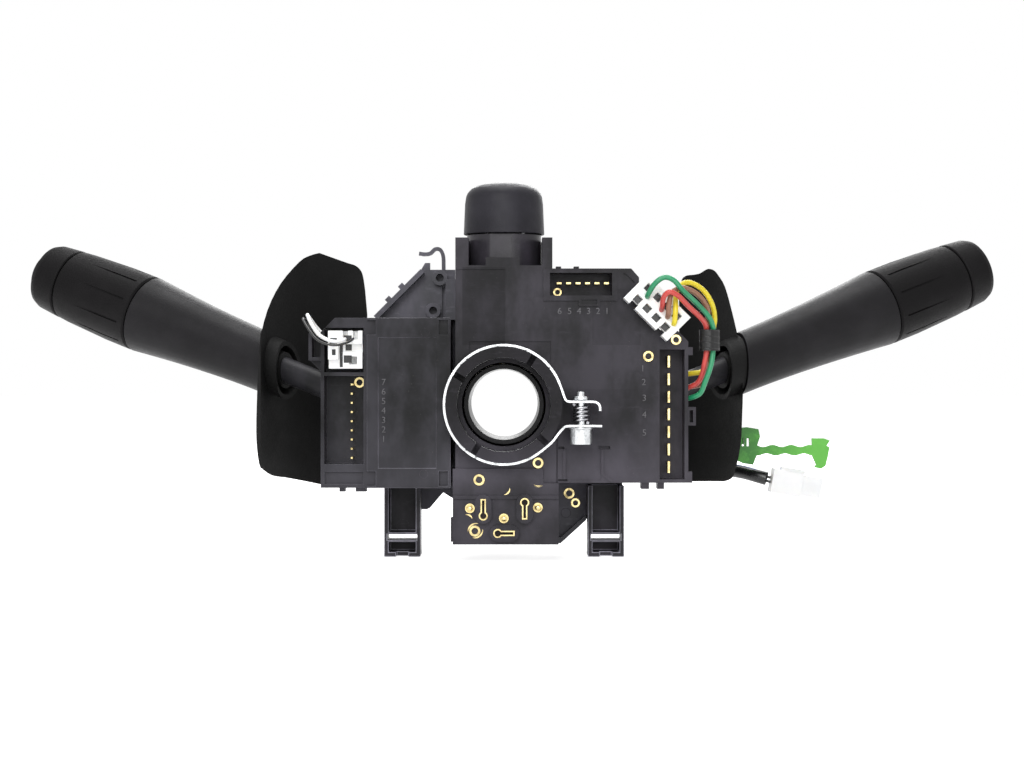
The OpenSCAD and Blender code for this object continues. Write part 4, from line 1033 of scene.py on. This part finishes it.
def soften(piece: bpy.types.Object, width: float, rubbed: bpy.types.Material | None = None) -> None:
    """Rounds a piece's sharp edges, as a mould leaves them.

    Args:
        piece: A mesh with flat faces and sharp edges.
        width: Width of the rounding in metres.
        rubbed: Material of the rounded edges, painted paler than the faces as a painted highlight.
    """
    weld = piece.modifiers.new("weld", "WELD")
    weld.merge_threshold = WELD_GAP
    planar = piece.modifiers.new("planar", "DECIMATE")
    planar.decimate_type = "DISSOLVE"
    planar.angle_limit = FLAT_ANGLE
    bevel = piece.modifiers.new("bevel", "BEVEL")
    bevel.width = width
    bevel.segments = ROUNDING_STEPS
    bevel.limit_method = "ANGLE"
    bevel.angle_limit = EDGE_ANGLE
    bevel.use_clamp_overlap = True
    # The rounded edges take the paler material, a painted highlight.
    if rubbed:
        piece.data.materials.append(rubbed)
        bevel.material = 1
    normals = piece.modifiers.new("normals", "WEIGHTED_NORMAL")
    normals.weight = FACE_WEIGHT
    normals.keep_sharp = False


# Groups of pieces


@dataclass
class Assembly:
    """A group of neighbouring parts that are built and dressed together.

    Attributes:
        wardrobe: Where the finishes come from.
        body: The body that its own pieces ride on.
    """

    wardrobe: Wardrobe
    body: str = "column_unit"

    def build(self) -> None:
        """Builds the pieces and dresses the nodes."""
        raise NotImplementedError

    def dress(
        self,
        finish: Finish,
        nodes: Iterable[str],
        edge: float = 0.0,
        look: Kind | None = None,
        variant: str = "",
    ) -> None:
        """Gives nodes of the frame their finish.

        Args:
            finish: The finish.
            nodes: The nodes' names.
            edge: Width of the rounding of their edges in metres, or 0 for none.
            look: A variant's own look, or nothing for the finish's usual one.
            variant: The variant's name.
        """
        for name in nodes:
            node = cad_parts[name]
            node.data.materials.clear()
            node.data.materials.append(self.wardrobe.material(finish, look, variant))
            if edge:
                # Housing, case and frame edges get their painted highlight here.
                soften(node, edge, self.wardrobe.rubbed(finish))
            log.info("dressed %s in %s", name, finish.value)

    def add(
        self,
        piece: bpy.types.Object,
        finish: Finish,
        replaces: Sequence[str] = (),
        material: bpy.types.Material | None = None,
    ) -> bpy.types.Object:
        """Dresses a new piece and puts it on the assembly's body.

        Args:
            piece: The piece, in place.
            finish: Its slot.
            replaces: Nodes of the frame that it stands for.
            material: A variant of the slot's finish.

        Returns:
            The piece.
        """
        piece.data.materials.clear()
        piece.data.materials.append(material or self.wardrobe.material(finish))
        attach(piece, self.body)
        if replaces:
            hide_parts(*replaces)
        log.info("built %s on %s", piece.name, self.body)
        return piece


@dataclass(frozen=True)
class Wire:
    """One free wire.

    Attributes:
        node: The node that it stands for.
        finish: Its insulation.
        radius: Its radius in metres.
        route: Points in millimetres from its plug into the case.
    """

    node: str
    finish: Finish
    radius: float
    route: Sequence[Point]


WIRES = (
    Wire(
        "yellow_wire", Finish.YELLOW, 1.0 * MM,
        (
            (63.9, -8.4, 30.2), (64.1, -11, 31.5), (64.4, -11.4, 36.4), (64.8, -8.6, 42),
            (66.8, -7, 45.2), (70.4, -5.6, 46), (75.2, -4, 43.4), (78.8, -1.6, 38.4),
            (80.2, 0.8, 32.8), (79.5, 1.4, 27), (79.4, 1.4, 20.4), (79, 2.6, 16),
            (77.4, 5.4, 12.8), (69.5, 8.4, 11.6),
        ),
    ),
    Wire(
        "brown_wire", Finish.BROWN, 1.0 * MM,
        (
            (61.6, -8.4, 32.9), (61.6, -12.4, 34), (61.8, -13.6, 38), (63, -13.4, 42),
            (66.4, -11.4, 43.8), (70.8, -8.6, 42.8), (74.8, -5.6, 39.8), (77.2, -2.4, 36),
            (77.4, 0.6, 32), (77, 1.4, 26.6), (77, 1.4, 20.4), (76.8, 2.4, 13), (76, 5, 8),
            (69.5, 8.6, 6.4),
        ),
    ),
    Wire(
        "green_wire", Finish.GREEN, 1.0 * MM,
        (
            (54, -8.4, 40.5), (54.2, -12, 41.6), (56.6, -14, 45.4), (60, -14.2, 47.6),
            (63.6, -14.4, 46.4), (66.9, -14.6, 42.6), (73, -8.6, 37.6), (77.6, -4.6, 33),
            (79.4, -1.6, 29), (79.4, -1, 25), (79.4, -1, 20.4), (78.6, -1.6, 15),
            (76.4, -1.4, 8.6), (74.4, 1, 4), (69.5, 4.6, 2),
        ),
    ),
    Wire(
        "red_wire", Finish.RED, 1.0 * MM,
        (
            (59.3, -8.4, 35.5), (59.3, -13, 37), (59.6, -16, 40), (61.6, -17.4, 42),
            (65, -16.4, 40.6), (69, -12.6, 37), (73.4, -8, 33.4), (76, -4, 30.8), (77, -1.4, 28),
            (77, -1, 24.6), (77, -1, 20.4), (76.2, -1, 15.6), (75.4, 0.4, 11.4), (73.6, 2.6, 8),
            (69.5, 4.6, 6),
        ),
    ),
    Wire(
        "white_lead", Finish.WHITE, 0.7 * MM,
        (
            (-60, -2.4, 25), (-61.4, -5, 24), (-65, -6.4, 24), (-69.6, -5, 26.2), (-73, -1, 30.4),
            (-75, 4, 34), (-74.8, 8, 33.4), (-72.4, 10.4, 29.8), (-69, 11, 26),
        ),
    ),
    Wire(
        "dark_lead", Finish.RUBBER, 0.45 * MM,
        (
            (-57, -2.4, 25), (-59, -6.8, 23.4), (-64, -8.4, 22.4), (-70, -6.8, 24.2),
            (-74.6, -2.4, 29.4), (-76.6, 2.6, 32.6), (-75.6, 7.4, 31.8), (-72.4, 9.4, 26.4),
            (-69, 9.6, 23.2),
        ),
    ),
)


@dataclass
class Leads(Assembly):
    """The free wires, the conduit of the clock spring and their plugs.

    Attributes:
        wires: The wires and their routes.
        conduit_r: Radius of the conduit's sleeve.
        conduit_wall: Wall of the sleeve.
        core_r: Radius of a core in the sleeve.
        core_offset: Where a core lies beside the sleeve's middle.
        line_r: Radius of the coloured line on the sleeve.
        line_side: Side of the sleeve that the line is on.
        line_sink: How deep the line lies in the sleeve.
        steps: Parts of each span of a route.
        open_steps: Parts of the conduit's route, at its plug, that the sleeve leaves bare.
        core_steps: Parts of the route that the cores reach back into the sleeve.
        line_ends: Parts of the sleeve that the line leaves bare at either end.
        conduit: The conduit's route in millimetres.
        plug_edge: Width of the rounding of the loom's plugs.
        clear_edge: The same on the conduit's plug.
        strap_edge: The same on the strap.
    """

    wires: Sequence[Wire] = WIRES
    conduit_r: float = 2.8 * MM
    conduit_wall: float = 0.6 * MM
    core_r: float = 0.55 * MM
    core_offset: Point = (0.0, 0.25, 0.9)
    line_r: float = 0.22 * MM
    line_side: Point = (-0.2, -0.35, 0.92)
    line_sink: float = 0.06 * MM
    steps: int = 6
    open_steps: int = 5
    core_steps: int = 10
    line_ends: tuple[int, int] = (4, 8)
    plug_edge: float = 0.0002
    clear_edge: float = 0.00025
    strap_edge: float = 0.00015
    conduit: Sequence[Point] = (
        (45, 54.4, -25), (48, 54.8, -25), (53, 59, -25.4), (58, 67, -25.8), (66, 76, -26.2),
        (78, 77, -26.6), (89, 72.4, -27.2), (98, 66, -28.4), (104, 62.4, -30), (109, 61, -31.4),
    )

    def build(self) -> None:
        """Lays the wires and the conduit and dresses the plugs."""
        for wire in self.wires:
            self.lay(wire)
        self.sleeve()
        self.dress(Finish.WHITE, ("wiper_plug", "loom_plug"), self.plug_edge)
        clear = (CLEAR_NYLON, "conduit_plug_clear")
        self.dress(Finish.WHITE, ("conduit_plug",), self.clear_edge, *clear)
        self.dress(Finish.STRAP, ("green_strap",), self.strap_edge)
        self.dress(Finish.RUBBER, ("tape_sleeve",), 0.0, LOOM_TAPE, "loom_tape")

    def lay(self, wire: Wire) -> None:
        """Lays one wire from its plug into the case.

        Args:
            wire: The wire.
        """
        path = rounded_route(wire.route, self.steps)
        run = curve_piece(wire.node + "_run", path, wire.radius)
        piece = self.add(run, wire.finish, [wire.node])
        length_of(path)

    def sleeve(self) -> None:
        """Lays the conduit: an open vinyl sleeve, its two cores and a coloured line on it."""
        path = rounded_route(self.conduit, self.steps * 2)
        sleeve = path[: -self.open_steps]
        inner = self.conduit_r - self.conduit_wall
        skin = hollow_sweep("conduit_sleeve", sleeve, self.conduit_r, inner)
        tube = self.add(skin, Finish.RUBBER, ["conduit"])
        for name, side in (("conduit_core_a", -1), ("conduit_core_b", 1)):
            beside = Vector(self.core_offset) * MM * side
            route = [place + beside for place in path[-self.open_steps - self.core_steps :]]
            self.add(curve_piece(name, route, self.core_r), Finish.RUBBER)
        above = Vector(self.line_side) * (self.conduit_r - self.line_sink)
        first, last = self.line_ends
        lined = [place + above for place in sleeve[first:-last]]
        blue = self.wardrobe.material(Finish.RUBBER, BLUE_LINE, "blue_line")
        line = curve_piece("conduit_line", lined, self.line_r)
        self.add(line, Finish.RUBBER, (), blue)
        length_of(sleeve)


@dataclass
class ColumnUnit(Assembly):
    """The housings, the clamp and everything that stays still on the column.

    Attributes:
        edge: Width of the rounding of moulded edges.
        button_travel: How far the hazard button presses its spring together; not used.
        turn_steps: Points in each turn of a spring.
        metal_edge: Width of the rounding of the band and the screws.
        clamp_coil: Turns of the clamp's spring and radius of its wire in millimetres.
        hazard_coil: The same of the hazard button's spring.
    """

    edge: float = 0.3 * MM
    button_travel: float = 3.8 * MM
    turn_steps: int = 24
    metal_edge: float = 0.00015
    clamp_coil: Spot = (4.5, 0.55)
    hazard_coil: Spot = (6, 0.6)

    def build(self) -> None:
        """Dresses the still nodes and winds the springs."""
        self.dress(Finish.HOUSING, ("main_housing", "terminal_plate"), self.edge)
        self.dress(Finish.CASE, ("wiper_case", "wiper_case_cover"), self.edge)
        self.dress(Finish.FRAME, ("support_frame",), self.edge)
        self.dress(Finish.FRAME, ("clip_legs",), self.edge, LEG_PLASTIC, "clip_leg_black")
        covers = ("wiper_carrier_cover", "light_carrier_cover", "hazard_switch_block")
        self.dress(Finish.LEVER, covers)
        self.dress(Finish.NATURAL, ("wiper_bearing_plate", "light_bearing_plate", "cancel_pawl"))
        self.dress(Finish.BOARD, ("wiper_contact_plate", "light_contact_plate"))
        self.dress(Finish.ZINC, ("clamp_band", "clamp_screw", "case_screws"), self.metal_edge)
        self.dress(Finish.BUTTON, ("hazard_barrel",), self.edge, BARREL_PLASTIC, "barrel_black")
        brass = ("wiper_connector_pins", "light_connector_blades", "top_connector_pins")
        self.dress(Finish.BRASS, (*brass, "keyhole_terminals", "brass_eyelets"))
        self.coil("clamp_spring", *self.clamp_coil)
        spring = self.coil("hazard_spring", *self.hazard_coil)
        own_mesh(spring)

    def coil(self, node: str, turns: float, wire: float) -> bpy.types.Object:
        """Winds a smooth coil spring in place of the frame's plain one.

        Args:
            node: The node that it stands for, whose box gives its place and size.
            turns: Number of turns.
            wire: Radius of the wire in millimetres.

        Returns:
            The coil, as a mesh.
        """
        low, high = (Vector(corner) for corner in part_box(node))
        radius = (high.y - low.y) / 2 - wire * MM
        height = high.z - low.z - 2 * wire * MM
        foot = Vector(((low.x + high.x) / 2, (low.y + high.y) / 2, low.z + wire * MM))
        count = int(turns * self.turn_steps)
        path = []
        for k in range(count + 1):
            turn = math.tau * turns * k / count
            across = Vector((radius * math.cos(turn), radius * math.sin(turn), height * k / count))
            path.append(foot + across)
        coil = as_mesh(curve_piece(node + "_coil", path, wire * MM))
        return self.add(coil, Finish.SPRING, [node])


@dataclass
class Marks(Assembly):
    """Moulded pin numbers, ejector marks, dark sheets of painted shade in the plugs' pockets and
    small bright rims.

    All places and sizes are in millimetres, and all bearings in degrees.

    Attributes:
        letter: Size of the digits' font.
        proud: How far a digit stands out of the wall.
        thinned: What is taken off a digit's strokes.
        blade_numbers: Middles of the digits beside the light case's blades.
        upper_numbers: Middles of the digits below the upper well.
        pin_numbers: Middles of the digits on the wiper case's cover.
        ejectors: Middle and radius of each ejector mark.
        rim: Width, foot and top of an ejector mark's rim.
        crescents: X, Z, radius and bearing of each crescent of brass.
        crescent_span: The angle that a crescent fills.
        crescent_width: Its width in the middle.
        crescent_y: Its two faces.
        crescent_steps: Its parts.
        small_windows: Two corners in X and Z, and the depth, of each dark sheet of painted shade in
            the wiper plug's pockets.
        window_y: Front and back of such a sheet, from its depth.
        plug_mid: Middle of the loom's plug, which stands on its corner.
        contact_pitch: Spacing of the loom plug's shaded pockets along its two sides.
        contact_half: Half the size of such a sheet.
        contact_y: Its front and back.
    """

    letter: float = 3.45
    proud: float = 0.08
    thinned: float = 0.02
    blade_numbers: Sequence[Point] = (
        (52.8, 0.0, 13.6), (53.2, 0.0, 8.4), (53.4, 0.0, 2.4), (53.4, 0.0, -4.0),
        (53.4, 0.0, -10.8),
    )
    upper_numbers: Sequence[Point] = tuple(
        (x, 0.0, 35.4) for x in (21.2, 25.0, 28.6, 32.2, 35.8, 39.2)
    )
    pin_numbers: Sequence[Point] = tuple(
        (-45.6, -1.6, z) for z in (8.4, 4.8, 1.2, -2.4, -6.0, -9.6, -13.2)
    )
    ejectors: Sequence[tuple[float, float, float, float]] = (
        (-12.2, 0.5, 27.6, 1.6), (37.0, 0.4, -23.6, 1.9), (-30.0, -1.6, 27.4, 1.7),
        (-30.4, -1.6, -26.4, 1.7), (40.4, 38.2, -48.7, 2.6), (-40.4, 38.2, -48.7, 2.6),
        (13.8, -1.0, -48.2, 1.8), (24.6, 40.0, -43.6, 2.0), (13.1, -1.0, -29.1, 2.2),
    )
    rim: Point = (0.2, -0.03, 0.09)
    crescents: Sequence[tuple[float, float, float, float]] = (
        (13.1, -29.3, 2.1, -95.0), (0.5, -32.4, 1.9, -40.0), (-13.7, -43.3, 1.7, 60.0),
        (-10.8, -47.9, 2.9, -50.0), (-10.8, -47.9, 2.9, 130.0),
    )
    crescent_span: float = 124.0
    crescent_width: float = 0.62
    crescent_y: Spot = (-1.05, -0.95)
    crescent_steps: int = 14
    small_windows: Sequence[tuple[float, float, float, float, float]] = (
        (-60.6, 24.0, -57.6, 26.2, -3.0), (-60.2, 20.5, -57.8, 23.1, 0.4),
        (-60.6, 15.8, -57.6, 18.6, -3.0), (-62.4, 14.2, -61.2, 23.1, 0.4),
        (-65.1, 18.7, -63.7, 20.9, -3.0), (-65.9, 22.6, -63.2, 25.2, -3.0),
    )
    window_y: Spot = (-0.03, 0.3)
    plug_mid: Spot = (57.7, 36.5)
    contact_pitch: Spot = (4.9, 2.9)
    contact_half: Spot = (1.35, 1.25)
    contact_y: Spot = (-5.6, -5.2)

    def build(self) -> None:
        """Adds the marks."""
        printed = self.wardrobe.material(Finish.HOUSING, PRINTED, "moulded_numbers")
        groups = (
            ("blade", self.blade_numbers, True),
            ("upper", self.upper_numbers, False),
            ("pin", self.pin_numbers, False),
        )
        for group, places, count_up in groups:
            for index, place in enumerate(places):
                number = index + 1 if count_up else len(places) - index
                digit = self.digit(f"{group}_number_{number}", str(number), place)
                self.add(digit, Finish.HOUSING, (), printed)
        self.add(self.rims(), Finish.HOUSING)
        self.add(self.bright_rims(), Finish.BRASS)
        # Dark sheets in the plugs' pockets: painted shade.
        self.add(self.windows(), Finish.RUBBER)

    def rims(self) -> bpy.types.Object:
        """Makes the thin raised rings that the mould's ejector pins leave.

        Returns:
            All rings in one piece.
        """
        bm = bmesh.new()
        width, foot, top = self.rim
        facing = Matrix.Rotation(math.pi / 2, 4, "X")
        for x, y, z, radius in self.ejectors:
            inner = radius - width
            outline = [(inner, foot), (radius, foot), (radius, top), (inner, top)]
            add_ring(bm, outline, Matrix.Translation((x, y, z)) @ facing)
        return mesh_piece("ejector_rims", bm, False)

    def bright_rims(self) -> bpy.types.Object:
        """Makes the crescents of brass that show past the terminal plate's small holes.

        Returns:
            All crescents in one piece.
        """
        bm = bmesh.new()
        span, steps = self.crescent_span, self.crescent_steps
        for x, z, radius, bearing in self.crescents:
            outer, inner = [], []
            for k in range(steps + 1):
                turn = math.radians(bearing - span / 2 + span * k / steps)
                reach = radius - self.crescent_width * math.sin(math.pi * (k + 0.5) / (steps + 1))
                outer.append((x + radius * math.cos(turn), z + radius * math.sin(turn)))
                inner.append((x + reach * math.cos(turn), z + reach * math.sin(turn)))
            add_prism(bm, outer + inner[::-1], *self.crescent_y)
        return mesh_piece("brass_crescents", bm, False)

    def windows(self) -> bpy.types.Object:
        """Makes the dark sheets of painted shade in the pockets of the two white plugs.

        Returns:
            All sheets in one piece.
        """
        bm = bmesh.new()
        front, back = self.window_y
        for x0, z0, x1, z1, y in self.small_windows:
            add_box(bm, (x0, y + front, z0), (x1, y + back, z1))
        middle = Matrix.Translation((self.plug_mid[0], 0.0, self.plug_mid[1]))
        turned = middle @ Matrix.Rotation(math.pi / 4, 4, "Y")
        (long, short), (half_u, half_v) = self.contact_pitch, self.contact_half
        near, far = self.contact_y
        for u in (-1.5 * long, -0.5 * long, 0.5 * long, 1.5 * long):
            for v in (-short, short):
                add_box(bm, (u - half_u, near, v - half_v), (u + half_u, far, v + half_v), turned)
        return mesh_piece("plug_pocket_shades", bm, False)

    def digit(self, name: str, text: str, place: Point) -> bpy.types.Object:
        """Moulds one digit on a wall that faces the column.

        Args:
            name: The piece's name.
            text: The digit.
            place: Its middle in millimetres.

        Returns:
            The text object.
        """
        data = bpy.data.curves.new(name, "FONT")
        data.body = text
        data.size = self.letter * MM
        data.extrude = self.proud * MM
        data.offset = -self.thinned * MM
        data.align_x = "CENTER"
        data.align_y = "CENTER"
        piece = placed(name, data)
        piece.location = Vector(place) * MM
        piece.rotation_euler = UPRIGHT
        return piece


@dataclass
class ClockSpring(Assembly):
    """The clock spring, its rotor and the cancelling cam.

    Attributes:
        edge: Width of the rounding of the turned mouldings' edges.
    """

    edge: float = 0.00025

    def build(self) -> None:
        """Dresses the clock spring."""
        turned = ("clock_spring_stator", "clock_spring_ring", "clock_spring_rotor")
        self.dress(Finish.ROTOR, turned, self.edge)
        self.dress(Finish.RIBBON, ("clock_spring_ribbon",))
        self.dress(Finish.NATURAL, ("cancel_cam",))


@dataclass
class Stalk(Assembly):
    """One stalk with its flap, tube, grip and end cap.

    Attributes:
        side: The stalk's name in the nodes.
        edge: Width of the rounding of its edges.
    """

    side: str = "light"
    edge: float = 0.00025

    def build(self) -> None:
        """Dresses the stalk's nodes."""
        self.dress(Finish.FLAP, (f"{self.side}_flap",))
        self.dress(Finish.STALK, (f"{self.side}_tube",), self.edge)
        turned = (f"{self.side}_grip", f"{self.side}_end_cap")
        self.dress(Finish.STALK, turned, self.edge, GRIP_RUBBER, "grip_black")
        self.dress(Finish.LEVER, (f"{self.side}_spindle", f"{self.side}_lever"))
        self.dress(Finish.NATURAL, (f"{self.side}_carrier", f"{self.side}_detent_plunger"))


@dataclass
class Buttons(Assembly):
    """The hazard button and the button in the wiper stalk's end.

    Attributes:
        edge: Width of the rounding of their edges.
    """

    edge: float = 0.0003

    def build(self) -> None:
        """Dresses the buttons."""
        self.dress(Finish.BUTTON, ("hazard_button", "wiper_end_button"), self.edge)


@dataclass
class Studio:
    """The camera, lamps, world and floor.

    Attributes:
        eye: Where the camera stands; it looks along +Y.
        lens: Focal length in millimetres.
        sensor: Width of the camera's sensor in millimetres.
        lamps: Name, place, side in metres and power in watts of each square lamp.
        ambient: Strength of the world for the rays that light the object.
        floor_z: Height of the floor.
        floor_r: Radius of the floor.
        glow: What the floor adds to its lit colour for the rays that see it.
    """

    eye: Point = (0.0031, -0.8, 0.0074)
    lens: float = 74.0
    sensor: float = 36.0
    lamps: Sequence[tuple[str, Point, float, float]] = (
        ("overhead", (0.0, 0.15, 1.25), 0.9, 12.0),
        ("key", (-0.3, -1.35, 0.75), 0.8, 13.0),
        ("fill", (0.35, -1.4, 0.1), 0.7, 5.0),
        ("rear", (0.2, 1.35, 0.75), 0.9, 11.0),
    )
    ambient: float = 0.28
    floor_z: float = -0.0602
    floor_r: float = 12.0
    glow: float = 0.82

    def set_camera(self) -> None:
        """Puts the camera at the photograph's viewing angle."""
        data = bpy.data.cameras.new("camera")
        data.lens = self.lens
        data.sensor_width = self.sensor
        data.clip_start = 10 * MM
        camera = placed("camera", data)
        camera.location = self.eye
        camera.rotation_euler = UPRIGHT
        bpy.context.scene.camera = camera

    def light(self) -> None:
        """Sets a white background, a soft even light and large lamps that face the object."""
        for name, place, size, watts in self.lamps:
            data = bpy.data.lights.new(name, "AREA")
            data.size = size
            data.energy = watts
            lamp = placed(name, data)
            lamp.location = place
            lamp.rotation_euler = (Vector() - Vector(place)).to_track_quat("-Z", "Y").to_euler()
        world = bpy.data.worlds.new("world")
        bpy.context.scene.world = world
        sky = Nodes(world)
        seen = sky.background_rays()
        level = seen * (1.0 - self.ambient) + self.ambient
        background = sky.node("ShaderNodeBackground", {}, {"Color": WHITE, "Strength": level})
        sky.node("ShaderNodeOutputWorld", {}, {"Surface": background.outputs[0]})

    def lay_floor(self) -> None:
        """Lays a wide pale floor that looks white and keeps the object's shadow."""
        bm = bmesh.new()
        bmesh.ops.create_circle(bm, cap_ends=True, segments=64, radius=self.floor_r)
        floor = mesh_piece("floor", bm)
        floor.location = (0, 0, self.floor_z)
        graph = Graph("floor_pale")
        graph.set(
            Base_Color=srgb(236, 236, 236),
            Roughness=0.9,
            Specular_IOR_Level=0.0,
            Emission_Color=graph.mix(graph.background_rays(), BLACK, WHITE),
            Emission_Strength=self.glow,
        )
        floor.data.materials.append(graph.material)

    def set_view(self) -> None:
        """Sets the plain view transform."""
        bpy.context.scene.view_settings.view_transform = "Standard"


def main() -> None:
    """Builds the scene in order."""
    logging.basicConfig(level=logging.INFO, format="%(name)s: %(message)s")
    wardrobe = Wardrobe()
    studio = Studio()
    studio.set_camera()
    Leads(wardrobe).build()
    ColumnUnit(wardrobe).build()
    ClockSpring(wardrobe).build()
    Stalk(wardrobe, side="light").build()
    Stalk(wardrobe, side="wiper").build()
    Marks(wardrobe).build()
    Buttons(wardrobe).build()
    studio.light()
    studio.lay_floor()
    studio.set_view()


if __name__ == "__main__":
    main()
